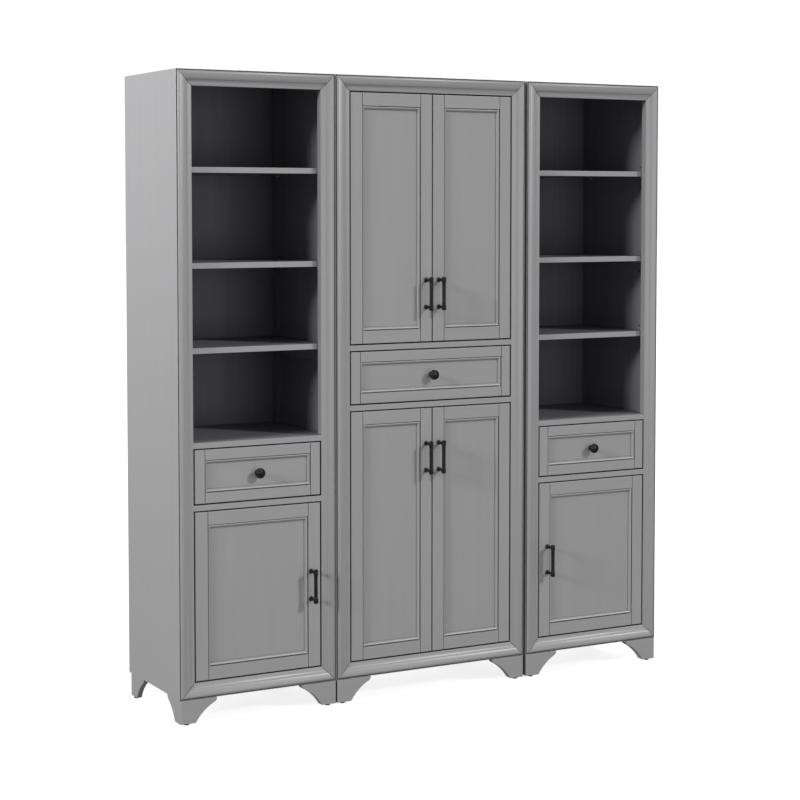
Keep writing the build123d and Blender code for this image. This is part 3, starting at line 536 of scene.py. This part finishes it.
# %% [markdown]
# ## The cases
#
# Outside, a case is painted grey. Inside, behind the fronts, it is charcoal, partly dark paint and partly
# painted shade for the dim bays, and the grey carries over the front edges and fades to it in the first few
# centimetres as a painted falloff of the light. The side boards, shelves and backs therefore take one of two
# materials on each face: which one depends on where the face looks.

# %% Which faces are inside
def looks_inward(unit):
    """A chooser for a unit's side boards: 1 for a face that looks into the unit, 0 outside."""
    middle = UNIT_MIDDLE[unit]

    def choose(face):
        towards = face.normal.x * (middle - face.center.x)
        inward = towards > 0 and abs(face.normal.x) > 0.7
        return 1 if inward and face.center.z > CASE_FLOOR_Z else 0

    return choose


def board_faces(face):
    """For boards and shelves: 0 for the front edge, 1 for everything behind it."""
    return 0 if face.normal.y < -0.7 else 1


def top_board_faces(face):
    """As board_faces, but the top of the whole case and the underside of its floor are outside."""
    outside = face.normal.z > 0.7 and face.center.z > design_high.z - 0.002
    under = face.normal.z < -0.7 and face.center.z < CASE_FLOOR_Z + 0.001
    return 0 if outside or under else board_faces(face)


def back_faces(face):
    """Charcoal with painted shade towards the room, bare hardboard behind."""
    return 0 if face.normal.y < -0.7 else 1


CASE_FLOOR_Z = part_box("back_panels")[0].z
print("floor of the cases at", round(CASE_FLOOR_Z, 4), "m")

# %% Finish the cases
for unit in UNITS:
    finish(f"{unit}_face_frame", [PAINT], 0.0005)
    finish(f"{unit}_sides", [PAINT, INSIDE], 0.0007, looks_inward(unit))
    finish(f"{unit}_fixed_boards", [PAINT, INSIDE], 0.0005, top_board_faces)
    finish(f"{unit}_loose_shelves", [PAINT, INSIDE], 0.0008, board_faces)
finish("back_panels", [INNER_BACK, BACK], 0.0003, back_faces)
finish("front_feet", [PAINT], 0.0008)
finish("battens_and_packers", [INSIDE], 0.0006)
print("cases finished")

# %% Finish doors and drawers
for door in DOORS:
    finish(f"{door}_door_frame", [PAINT], 0.0004)
    finish(f"{door}_door_panel", [PAINT], 0)
for unit in UNITS:
    finish(f"{unit}_drawer_front", [PAINT], 0.0004)
    finish(f"{unit}_drawer_box", [WOOD], 0.0005)
    finish(f"{unit}_drawer_inner_rails", [ZINC], 0.0002)
    finish(f"{unit}_drawer_middle_rails", [ZINC], 0.0002)
for door in DOORS:
    finish(f"{door}_door_hinge_cups", [NICKEL], 0.0002)
finish("hinge_arms", [NICKEL], 0.0003)
finish("slide_outer_rails", [ZINC], 0.0002)
finish("joining_plates", [ZINC], 0.0003)
finish("shelf_pegs", [NICKEL], 0.0002)
finish("glides", [PLASTIC], 0.0006)
print("doors, drawers and fittings finished")

# %% [markdown]
# ## Handles and knobs
#
# These are turned on a lathe, so each is a profile spun round an axis. A handle is one turned bar with
# ringed ends on two turned posts, and a knob is a mushroom with a ring cut in its face. The profile is a
# list of radius and height, and the spin closes at both ends on the axis.

# %% Spin a profile
def bend(start, stop, pull, steps=6):
    """Points of a soft curve from start to stop, drawn towards pull; start is left out."""
    points = []
    for step in range(1, steps + 1):
        t = step / steps
        points.append(tuple(
            (1 - t) ** 2 * start[i] + 2 * t * (1 - t) * pull[i] + t**2 * stop[i] for i in range(2)
        ))
    return points


def turned(bm, profile, place, sides=48):
    """Adds a turned piece: profile is (radius, height) along the axis, and place sets it where it goes."""
    rings = []
    for radius, height in profile:
        if radius < 1e-7:
            rings.append([bm.verts.new(place @ Vector((0, 0, height)))])
            continue
        ring = []
        for side in range(sides):
            angle = 2 * math.pi * side / sides
            ring.append(bm.verts.new(place @ Vector((radius * math.cos(angle), radius * math.sin(angle), height))))
        rings.append(ring)
    for low, high in zip(rings, rings[1:]):
        for side in range(sides):
            after = (side + 1) % sides
            if len(low) == 1:
                bm.faces.new((low[0], high[after], high[side]))
            elif len(high) == 1:
                bm.faces.new((low[side], low[after], high[0]))
            else:
                bm.faces.new((low[side], low[after], high[after], high[side]))


def turned_piece(name, turnings, material):
    """One object from several turnings, with outward faces and a grain map."""
    bm = bmesh.new()
    for profile, place in turnings:
        turned(bm, profile, place)
    bmesh.ops.recalc_face_normals(bm, faces=bm.faces[:])
    uv = bm.loops.layers.uv.new(GRAIN_MAP)
    lay_grain(bm, [bm.faces[:]], uv)
    mesh = bpy.data.meshes.new(name)
    bm.to_mesh(mesh)
    bm.free()
    mesh.materials.append(material)
    shade(mesh, math.radians(40))
    piece = bpy.data.objects.new(name, mesh)
    SCENE.collection.objects.link(piece)
    return piece


# %% Handle
PULL_CENTRES = 80 * MM
BAR_R = 5.4 * MM
RING_R = 7.5 * MM
POST_R = 4.2 * MM
TOWARDS_ROOM = Matrix.Rotation(math.radians(90), 4, "X")


def bar_profile(half_length):
    """Upper half of the bar from its middle to its tip, then mirrored for the lower half."""
    post = PULL_CENTRES / 2
    upper = [(BAR_R, 0.0), (BAR_R, post - 11.0 * MM)]
    upper += bend(upper[-1], (BAR_R, post - 8.4 * MM), (BAR_R + 2.4 * MM, post - 9.7 * MM))
    upper += bend(upper[-1], (RING_R, post - 4.6 * MM), (BAR_R, post - 5.2 * MM))
    upper += [(RING_R, post - 3.4 * MM), (RING_R - 1.3 * MM, post - 2.7 * MM)]
    upper += [(RING_R - 1.3 * MM, post + 2.7 * MM), (RING_R, post + 3.4 * MM)]
    upper += [(RING_R, post + 5.4 * MM), (RING_R - 0.9 * MM, post + 6.1 * MM)]
    upper += bend(upper[-1], (0.0, half_length), (RING_R - 1.0 * MM, half_length))
    lower = [(radius, -height) for radius, height in reversed(upper)]
    return lower + upper[1:]


def post_profile(length):
    """From the door to the middle of the bar: stepped base, slim neck, small bell under the bar."""
    base = [(0.0, 0.0), (6.8 * MM, 0.0), (6.8 * MM, 2.6 * MM)]
    base += bend(base[-1], (5.0 * MM, 4.8 * MM), (6.6 * MM, 4.6 * MM))
    base += bend(base[-1], (POST_R, 8.5 * MM), (POST_R, 5.2 * MM))
    base += [(POST_R, length - 11 * MM)]
    base += bend(base[-1], (5.6 * MM, length - 4.5 * MM), (POST_R, length - 6 * MM))
    return base + [(5.6 * MM, length), (0.0, length)]


for door in DOORS:
    low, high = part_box(f"{door}_door_handle")
    middle = (low + high) / 2
    bar_y = low.y + (high.x - low.x) / 2
    face_y = high.y
    bar_place = Matrix.Translation((middle.x, bar_y, middle.z))
    turnings = [(bar_profile((high.z - low.z) / 2), bar_place)]
    for side in (-1, 1):
        foot = Matrix.Translation((middle.x, face_y, middle.z + side * PULL_CENTRES / 2))
        turnings.append((post_profile(face_y - bar_y), foot @ TOWARDS_ROOM))
    handle = turned_piece(f"{door}_handle_turned", turnings, BRONZE)
    adopt(handle, BODY_OF[f"{door}_door_handle"], "dark_bronze", f"{door}_door_handle")
print(len(DOORS), "handles turned")

# %% Knob
def knob_profile(radius, length):
    """From its foot to its face: a rosette, a waist, a mushroom head, a cut ring and a button."""
    line = [(0.0, 0.0), (8.0 * MM, 0.0), (8.0 * MM, 1.4 * MM)]
    line += bend(line[-1], (5.2 * MM, 4.2 * MM), (5.8 * MM, 2.2 * MM))
    line += bend(line[-1], (5.2 * MM, 9.5 * MM), (4.6 * MM, 7.0 * MM))
    line += bend(line[-1], (radius, 20.6 * MM), (6.0 * MM, 17.0 * MM), 10)
    line += bend(line[-1], (radius - 2.2 * MM, length - 2.4 * MM), (radius + 0.2 * MM, length - 3.2 * MM))
    rim = radius - 4.2 * MM
    line += [(rim, length - 2.4 * MM), (rim - 0.5 * MM, length - 3.8 * MM), (8.0 * MM, length - 3.8 * MM)]
    line += [(7.5 * MM, length - 3.4 * MM)]
    line += bend(line[-1], (0.0, length), (6.6 * MM, length))
    return line


for unit in UNITS:
    low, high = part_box(f"{unit}_drawer_knob")
    middle = (low + high) / 2
    place = Matrix.Translation((middle.x, high.y, middle.z)) @ TOWARDS_ROOM
    profile = knob_profile((high.x - low.x) / 2, high.y - low.y)
    knob = turned_piece(f"{unit}_knob_turned", [(profile, place)], BRONZE)
    adopt(knob, BODY_OF[f"{unit}_drawer_knob"], "dark_bronze", f"{unit}_drawer_knob")
print(len(UNITS), "knobs turned")

# %% [markdown]
# ## Screws and nails
#
# Small fixings repeat, so Geometry Nodes makes them. A screw is drawn once: a flat disc whose top is
# pushed up into a dome, a cross cut out of it, and a shank below. An instance of it then goes on every
# point of a guide mesh, turned to the direction stored on the point and spun by a random angle. The nails
# round the backs follow the edge of each panel instead, at even steps. Every guide is baked to a plain
# mesh and tied to the body that it moves with.

# %% Helpers for geometry trees
def geometry_tree(name, inputs):
    """A geometry tree with a geometry input and output and the named inputs given."""
    tree = bpy.data.node_groups.new(name, "GeometryNodeTree")
    tree.interface.new_socket(name="Geometry", in_out="INPUT", socket_type="NodeSocketGeometry")
    for label, kind, default in inputs:
        socket = tree.interface.new_socket(name=label, in_out="INPUT", socket_type=kind)
        if default is not None:
            socket.default_value = default
    tree.interface.new_socket(name="Geometry", in_out="OUTPUT", socket_type="NodeSocketGeometry")
    return tree, node(tree, "NodeGroupInput"), node(tree, "NodeGroupOutput")


def math_of(tree, operation, first, second=None):
    """A math node; each side is a socket or a number."""
    made = node(tree, "ShaderNodeMath", operation=operation)
    for index, value in enumerate((first, second)):
        if isinstance(value, bpy.types.NodeSocket):
            tree.links.new(value, made.inputs[index])
        elif value is not None:
            made.inputs[index].default_value = value
    return made.outputs[0]


def vector_of(tree, x, y, z):
    """A vector from three sockets or numbers."""
    made = node(tree, "ShaderNodeCombineXYZ")
    for index, value in enumerate((x, y, z)):
        if isinstance(value, bpy.types.NodeSocket):
            tree.links.new(value, made.inputs[index])
        else:
            made.inputs[index].default_value = value
    return made.outputs[0]


def moved(tree, geometry, offset):
    """Geometry moved by an offset socket."""
    made = node(tree, "GeometryNodeTransform")
    tree.links.new(geometry, made.inputs["Geometry"])
    tree.links.new(offset, made.inputs["Translation"])
    return made.outputs["Geometry"]


def realised(tree, geometry, material, end):
    """Closes a tree: instances made real, then the material set."""
    real = node(tree, "GeometryNodeRealizeInstances")
    tree.links.new(geometry, real.inputs["Geometry"])
    painted = node(tree, "GeometryNodeSetMaterial")
    tree.links.new(real.outputs["Geometry"], painted.inputs["Geometry"])
    tree.links.new(material, painted.inputs["Material"])
    tree.links.new(painted.outputs["Geometry"], end.inputs["Geometry"])


# %% The screw tree
def make_screw_tree():
    """Domed screws with a cross recess on every point of the guide, along its axis attribute."""
    tree, start, end = geometry_tree("cross_head_screws", [
        ("Head radius", FLOAT, 3.5 * MM),
        ("Head height", FLOAT, 1.6 * MM),
        ("Shank length", FLOAT, 2.0 * MM),
        ("Seed", "NodeSocketInt", 7),
        ("Material", "NodeSocketMaterial", None),
    ])
    radius = start.outputs["Head radius"]
    height = start.outputs["Head height"]
    rim = math_of(tree, "MULTIPLY", height, 0.35)
    disc = node(tree, "GeometryNodeMeshCylinder", fill_type="TRIANGLE_FAN")
    disc.inputs["Vertices"].default_value = 24
    disc.inputs["Fill Segments"].default_value = 5
    tree.links.new(radius, disc.inputs["Radius"])
    tree.links.new(rim, disc.inputs["Depth"])
    place = node(tree, "GeometryNodeInputPosition").outputs[0]
    parts = node(tree, "ShaderNodeSeparateXYZ")
    tree.links.new(place, parts.inputs[0])
    flat = node(tree, "ShaderNodeVectorMath", operation="LENGTH")
    tree.links.new(vector_of(tree, parts.outputs["X"], parts.outputs["Y"], 0.0), flat.inputs[0])
    share = math_of(tree, "POWER", math_of(tree, "DIVIDE", flat.outputs["Value"], radius), 2.4)
    dome = math_of(tree, "MULTIPLY", math_of(tree, "SUBTRACT", 1.0, share), math_of(tree, "SUBTRACT", height, rim))
    domed = node(tree, "GeometryNodeSetPosition")
    tree.links.new(disc.outputs["Mesh"], domed.inputs["Geometry"])
    tree.links.new(math_of(tree, "GREATER_THAN", parts.outputs["Z"], 0.0), domed.inputs["Selection"])
    tree.links.new(vector_of(tree, 0.0, 0.0, dome), domed.inputs["Offset"])
    head = moved(tree, domed.outputs["Geometry"], vector_of(tree, 0.0, 0.0, math_of(tree, "MULTIPLY", rim, 0.5)))
    cut = node(tree, "GeometryNodeMeshBoolean", operation="DIFFERENCE")
    tree.links.new(head, cut.inputs["Mesh 1"])
    long_side = math_of(tree, "MULTIPLY", radius, 1.15)
    short_side = math_of(tree, "MULTIPLY", radius, 0.24)
    for x_side, y_side in ((long_side, short_side), (short_side, long_side)):
        blade = node(tree, "GeometryNodeMeshCube")
        tree.links.new(vector_of(tree, x_side, y_side, height), blade.inputs["Size"])
        tree.links.new(moved(tree, blade.outputs["Mesh"], vector_of(tree, 0.0, 0.0, height)), cut.inputs["Mesh 2"])
    shank = node(tree, "GeometryNodeMeshCylinder", fill_type="NGON")
    shank.inputs["Vertices"].default_value = 12
    tree.links.new(math_of(tree, "MULTIPLY", radius, 0.5), shank.inputs["Radius"])
    tree.links.new(start.outputs["Shank length"], shank.inputs["Depth"])
    down = math_of(tree, "MULTIPLY", start.outputs["Shank length"], -0.5)
    joined = node(tree, "GeometryNodeJoinGeometry")
    tree.links.new(cut.outputs["Mesh"], joined.inputs[0])
    tree.links.new(moved(tree, shank.outputs["Mesh"], vector_of(tree, 0.0, 0.0, down)), joined.inputs[0])
    axis = node(tree, "GeometryNodeInputNamedAttribute", data_type="FLOAT_VECTOR")
    axis.inputs["Name"].default_value = "axis"
    aim = node(tree, "FunctionNodeAlignRotationToVector", axis="Z")
    tree.links.new(axis.outputs[0], aim.inputs["Vector"])
    chance = node(tree, "FunctionNodeRandomValue", data_type="FLOAT")
    chance.inputs[3].default_value = 2 * math.pi
    tree.links.new(start.outputs["Seed"], chance.inputs["Seed"])
    spin = node(tree, "FunctionNodeEulerToRotation")
    tree.links.new(vector_of(tree, 0.0, 0.0, chance.outputs[1]), spin.inputs[0])
    turn = node(tree, "FunctionNodeRotateRotation", rotation_space="LOCAL")
    tree.links.new(aim.outputs["Rotation"], turn.inputs["Rotation"])
    tree.links.new(spin.outputs[0], turn.inputs["Rotate By"])
    spread = node(tree, "GeometryNodeInstanceOnPoints")
    tree.links.new(start.outputs["Geometry"], spread.inputs["Points"])
    tree.links.new(joined.outputs[0], spread.inputs["Instance"])
    tree.links.new(turn.outputs[0], spread.inputs["Rotation"])
    realised(tree, spread.outputs["Instances"], start.outputs["Material"], end)
    return tree


# %% The nail tree
def make_nail_tree():
    """Flat nail heads at even steps along the edges of the guide."""
    tree, start, end = geometry_tree("edge_nails", [
        ("Step", FLOAT, 0.11),
        ("Head radius", FLOAT, 2.2 * MM),
        ("Head height", FLOAT, 0.8 * MM),
        ("Unevenness", FLOAT, 2.0 * MM),
        ("Seed", "NodeSocketInt", 11),
        ("Material", "NodeSocketMaterial", None),
    ])
    line = node(tree, "GeometryNodeMeshToCurve")
    tree.links.new(start.outputs["Geometry"], line.inputs["Mesh"])
    steps = node(tree, "GeometryNodeCurveToPoints", mode="LENGTH")
    tree.links.new(line.outputs["Curve"], steps.inputs["Curve"])
    tree.links.new(start.outputs["Step"], steps.inputs["Length"])
    reach = start.outputs["Unevenness"]
    back = math_of(tree, "MULTIPLY", reach, -1.0)
    chance = node(tree, "FunctionNodeRandomValue", data_type="FLOAT_VECTOR")
    tree.links.new(vector_of(tree, back, 0.0, back), chance.inputs[0])
    tree.links.new(vector_of(tree, reach, 0.0, reach), chance.inputs[1])
    tree.links.new(start.outputs["Seed"], chance.inputs["Seed"])
    strewn = node(tree, "GeometryNodeSetPosition")
    tree.links.new(steps.outputs["Points"], strewn.inputs["Geometry"])
    tree.links.new(chance.outputs[0], strewn.inputs["Offset"])
    head = node(tree, "GeometryNodeMeshCylinder", fill_type="NGON")
    head.inputs["Vertices"].default_value = 16
    tree.links.new(start.outputs["Head radius"], head.inputs["Radius"])
    tree.links.new(start.outputs["Head height"], head.inputs["Depth"])
    laid = node(tree, "GeometryNodeTransform")
    tree.links.new(head.outputs["Mesh"], laid.inputs["Geometry"])
    laid.inputs["Rotation"].default_value = (math.radians(90), 0, 0)
    spread = node(tree, "GeometryNodeInstanceOnPoints")
    tree.links.new(strewn.outputs["Geometry"], spread.inputs["Points"])
    tree.links.new(laid.outputs["Geometry"], spread.inputs["Instance"])
    realised(tree, spread.outputs["Instances"], start.outputs["Material"], end)
    return tree


SCREW_TREE = make_screw_tree()
NAIL_TREE = make_nail_tree()
print("geometry trees:", SCREW_TREE.name, NAIL_TREE.name)

# %% Bake a tree on a guide
def bake(name, guide_mesh, tree, values):
    """Runs a tree on a guide mesh and keeps the result as one plain mesh."""
    piece = bpy.data.objects.new(name, guide_mesh)
    SCENE.collection.objects.link(piece)
    modifier = piece.modifiers.new("made by nodes", "NODES")
    modifier.node_group = tree
    for item in tree.interface.items_tree:
        if item.in_out == "INPUT" and item.name in values:
            modifier[item.identifier] = values[item.name]
    depsgraph = bpy.context.evaluated_depsgraph_get()
    mesh = bpy.data.meshes.new_from_object(
        piece.evaluated_get(depsgraph), preserve_all_data_layers=True, depsgraph=depsgraph
    )
    piece.modifiers.remove(modifier)
    piece.data = mesh
    bm = bmesh.new()
    bm.from_mesh(mesh)
    uv = bm.loops.layers.uv.get(GRAIN_MAP) or bm.loops.layers.uv.new(GRAIN_MAP)
    bm.faces.ensure_lookup_table()
    lay_grain(bm, [bm.faces[:]], uv)
    bm.to_mesh(mesh)
    bm.free()
    shade(mesh, math.radians(35))
    return piece


def screws(name, body, slot_name, material, spots, radius, height, shank, stands_for=()):
    """Screws of one size on one body; each spot is a point on the surface and the way the head looks."""
    guide = bpy.data.meshes.new(name)
    guide.from_pydata([spot for spot, axis in spots], [], [])
    axes = guide.attributes.new("axis", "FLOAT_VECTOR", "POINT")
    for index, (spot, axis) in enumerate(spots):
        axes.data[index].vector = axis
    sizes = {"Head radius": radius, "Head height": height, "Shank length": shank, "Material": material}
    piece = bake(name, guide, SCREW_TREE, sizes)
    adopt(piece, body, slot_name, *stands_for)
    return len(spots)


# %% Where the screws go
TO_BACK = Vector((0, 1, 0))
CUP_SCREW_REACH = 24 * MM
PLATE_SCREW_REACH = 15 * MM
PLATE_LENGTH = 50 * MM
ARM_PLATE_T = 2 * MM
SHELL = BODY_OF["back_panels"]
placed = 0
for door in DOORS:
    cup_spots, bolt_spots = [], []
    for low, high in solid_boxes(f"{door}_door_hinge_cups"):
        middle = (low + high) / 2
        for side in (-1, 1):
            cup_spots.append((Vector((middle.x, high.y, middle.z + side * CUP_SCREW_REACH)), TO_BACK))
    low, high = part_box(f"{door}_door_handle")
    middle = (low + high) / 2
    door_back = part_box(f"{door}_door_frame")[1].y
    for side in (-1, 1):
        bolt_spots.append((Vector((middle.x, door_back, middle.z + side * PULL_CENTRES / 2)), TO_BACK))
    body = BODY_OF[f"{door}_door_frame"]
    placed += screws(f"{door}_cup_screws", body, "nickel_steel", NICKEL, cup_spots, 3.4 * MM, 1.5 * MM, 1 * MM)
    placed += screws(f"{door}_pull_bolts", body, "zinc_steel", ZINC, bolt_spots, 4.2 * MM, 2.2 * MM, 2 * MM)
for unit in UNITS:
    low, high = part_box(f"{unit}_drawer_knob")
    middle = (low + high) / 2
    front_board = min(solid_boxes(f"{unit}_drawer_box"), key=lambda box: box[1].y)
    spot = (Vector((middle.x, front_board[1].y, middle.z)), TO_BACK)
    body = BODY_OF[f"{unit}_drawer_front"]
    placed += screws(f"{unit}_knob_bolt", body, "zinc_steel", ZINC, [spot], 4.2 * MM, 2.2 * MM, 2 * MM)
arm_spots = []
for low, high in solid_boxes("hinge_arms"):
    middle = (low + high) / 2
    unit = min(UNITS, key=lambda name: abs(UNIT_MIDDLE[name] - middle.x))
    on_left = middle.x < UNIT_MIDDLE[unit]
    wall = low.x + ARM_PLATE_T if on_left else high.x - ARM_PLATE_T
    axis = Vector((1 if on_left else -1, 0, 0))
    for side in (-1, 1):
        spot = Vector((wall, high.y - PLATE_LENGTH / 2, middle.z + side * PLATE_SCREW_REACH))
        arm_spots.append((spot, axis))
placed += screws("hinge_plate_screws", SHELL, "nickel_steel", NICKEL, arm_spots, 3.4 * MM, 1.5 * MM, 1.5 * MM)
joining = []
plate_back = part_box("joining_plates")[1].y
for low, high in solid_boxes("joining_screws"):
    middle = (low + high) / 2
    joining.append((Vector((middle.x, plate_back, middle.z)), TO_BACK))
    head_radius = (high.x - low.x) / 2
    head_height = high.y - plate_back
    shank_length = plate_back - low.y
placed += screws(
    "joining_screws_made", SHELL, "zinc_steel", ZINC, joining, head_radius, head_height, shank_length,
    ("joining_screws",),
)
print(placed, "screws and bolts")

# %% Nails round the backs
NAIL_INSET = 6 * MM
nail_guide = bpy.data.meshes.new("back_nails")
corners, edges = [], []
for low, high in solid_boxes("back_panels"):
    first = len(corners)
    for x, z in ((low.x + NAIL_INSET, low.z + NAIL_INSET), (high.x - NAIL_INSET, low.z + NAIL_INSET),
                 (high.x - NAIL_INSET, high.z - NAIL_INSET), (low.x + NAIL_INSET, high.z - NAIL_INSET)):
        corners.append((x, high.y, z))
    edges += [(first + i, first + (i + 1) % 4) for i in range(4)]
nail_guide.from_pydata(corners, edges, [])
nails = bake("back_nails", nail_guide, NAIL_TREE, {"Step": 0.11, "Material": ZINC})
adopt(nails, SHELL, "zinc_steel")
print("nail heads:", len(nails.data.polygons) // 18)

# %% [markdown]
# ## Light, floor and camera
#
# The set stands on a white floor before a white backdrop. A far key light from the upper right draws the
# mouldings alike on all three units, and a second one grazes them from the left and brightens the side.
# A lamp high on the left adds to the top of the side, a wide weak one in front reaches into the bays, and
# a faint one behind keeps the backs readable. Floor and backdrop look white to the camera but light the
# set only gently, so that the mouldings keep their shade.
# The camera stands to the left at eye level with a long lens and a little downward shift.

# %% Floor
def camera_only(tree, seen, unseen, output):
    """Joins two shaders so that the view shows one and the light that bounces meets the other."""
    path = node(tree, "ShaderNodeLightPath")
    mix = node(tree, "ShaderNodeMixShader")
    tree.links.new(path.outputs["Is Camera Ray"], mix.inputs[0])
    tree.links.new(unseen, mix.inputs[1])
    tree.links.new(seen, mix.inputs[2])
    tree.links.new(mix.outputs[0], output.inputs["Surface"])


def floor(glow, bounce):
    """A plain white floor, wide enough to reach past the view; it throws less light up than it shows."""
    reach = 60.0
    mesh = bpy.data.meshes.new("floor")
    corners = [(-reach, -reach, 0), (reach, -reach, 0), (reach, reach, 0), (-reach, reach, 0)]
    mesh.from_pydata(corners, [], [(0, 1, 2, 3)])
    material, tree, shader = new_material("white_floor", 0.8, specular=0.1)
    shader.inputs["Base Color"].default_value = (0.30, 0.30, 0.30, 1)
    shader.inputs["Emission Color"].default_value = (1, 1, 1, 1)
    shader.inputs["Emission Strength"].default_value = glow
    dull = node(tree, "ShaderNodeBsdfDiffuse")
    dull.inputs["Color"].default_value = (bounce, bounce, bounce, 1)
    camera_only(tree, shader.outputs[0], dull.outputs[0], tree.nodes["Material Output"])
    mesh.materials.append(material)
    piece = bpy.data.objects.new("floor", mesh)
    SCENE.collection.objects.link(piece)
    piece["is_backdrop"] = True


# %% Room and lamps
def room(brightness):
    """A white backdrop that lights the set only gently."""
    world = bpy.data.worlds.new("room")
    world.use_nodes = True
    tree = world.node_tree
    gentle = tree.nodes["Background"]
    gentle.inputs["Color"].default_value = (1.0, 1.0, 1.0, 1.0)
    gentle.inputs["Strength"].default_value = brightness
    white = node(tree, "ShaderNodeBackground")
    white.inputs["Color"].default_value = (1.0, 1.0, 1.0, 1.0)
    white.inputs["Strength"].default_value = 1.02
    camera_only(tree, white.outputs[0], gentle.outputs[0], tree.nodes["World Output"])
    SCENE.world = world


def soft_light(name, place, target, size, watts):
    """A square area light that looks at a point."""
    data = bpy.data.lights.new(name, "AREA")
    data.shape = "SQUARE"
    data.size = size
    data.energy = watts
    lamp = bpy.data.objects.new(name, data)
    lamp.location = place
    direction = Vector(target) - Vector(place)
    lamp.rotation_euler = direction.to_track_quat("-Z", "Y").to_euler()
    SCENE.collection.objects.link(lamp)


def far_light(name, turn, rise, spread, strength):
    """A large lamp so far off that it lights every unit alike; turn is measured from straight ahead."""
    data = bpy.data.lights.new(name, "SUN")
    data.angle = math.radians(spread)
    data.energy = strength
    lamp = bpy.data.objects.new(name, data)
    lamp.rotation_euler = (math.radians(90 - rise), 0, math.radians(-turn))
    SCENE.collection.objects.link(lamp)


MIDDLE_Z = design_high.z / 2
floor(0.84, 0.35)
room(0.40)
far_light("key from the right", -36, 30, 8, 1.9)
far_light("grazing light from the left", 76, 20, 12, 2.3)
far_light("back light", -140, 25, 30, 1.5)
soft_light("side light", (-2.4, 0.3, 2.2), (design_low.x, 0, 1.6), 1.0, 34)
soft_light("front light", (0.6, -5.8, 0.9), (0.0, 0, MIDDLE_Z), 2.8, 55)
SCENE.view_settings.view_transform = "Standard"

# %% Camera
CAMERA_PLACE = (-2.826, -5.065, 1.453)
CAMERA_TURN = 29.03
CAMERA_TILT = -3.20
CAMERA_LENS = 85.74
CAMERA_RISE = -0.11
camera_data = bpy.data.cameras.new("camera")
camera_data.sensor_width = 36.0
camera_data.lens = CAMERA_LENS
camera_data.shift_y = CAMERA_RISE
camera = bpy.data.objects.new("camera", camera_data)
camera.location = CAMERA_PLACE
camera.rotation_euler = (math.radians(90 + CAMERA_TILT), 0, math.radians(-CAMERA_TURN))
SCENE.collection.objects.link(camera)
SCENE.camera = camera
print("camera at", CAMERA_PLACE, "lens", CAMERA_LENS)

# %% Print how far the finished look reaches past the design box
seen_low, seen_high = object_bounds()
grown = [round((b - a) * 1000, 2) for a, b in zip(design_high, seen_high)]
print("looks are larger at the high corner by", grown, "mm")
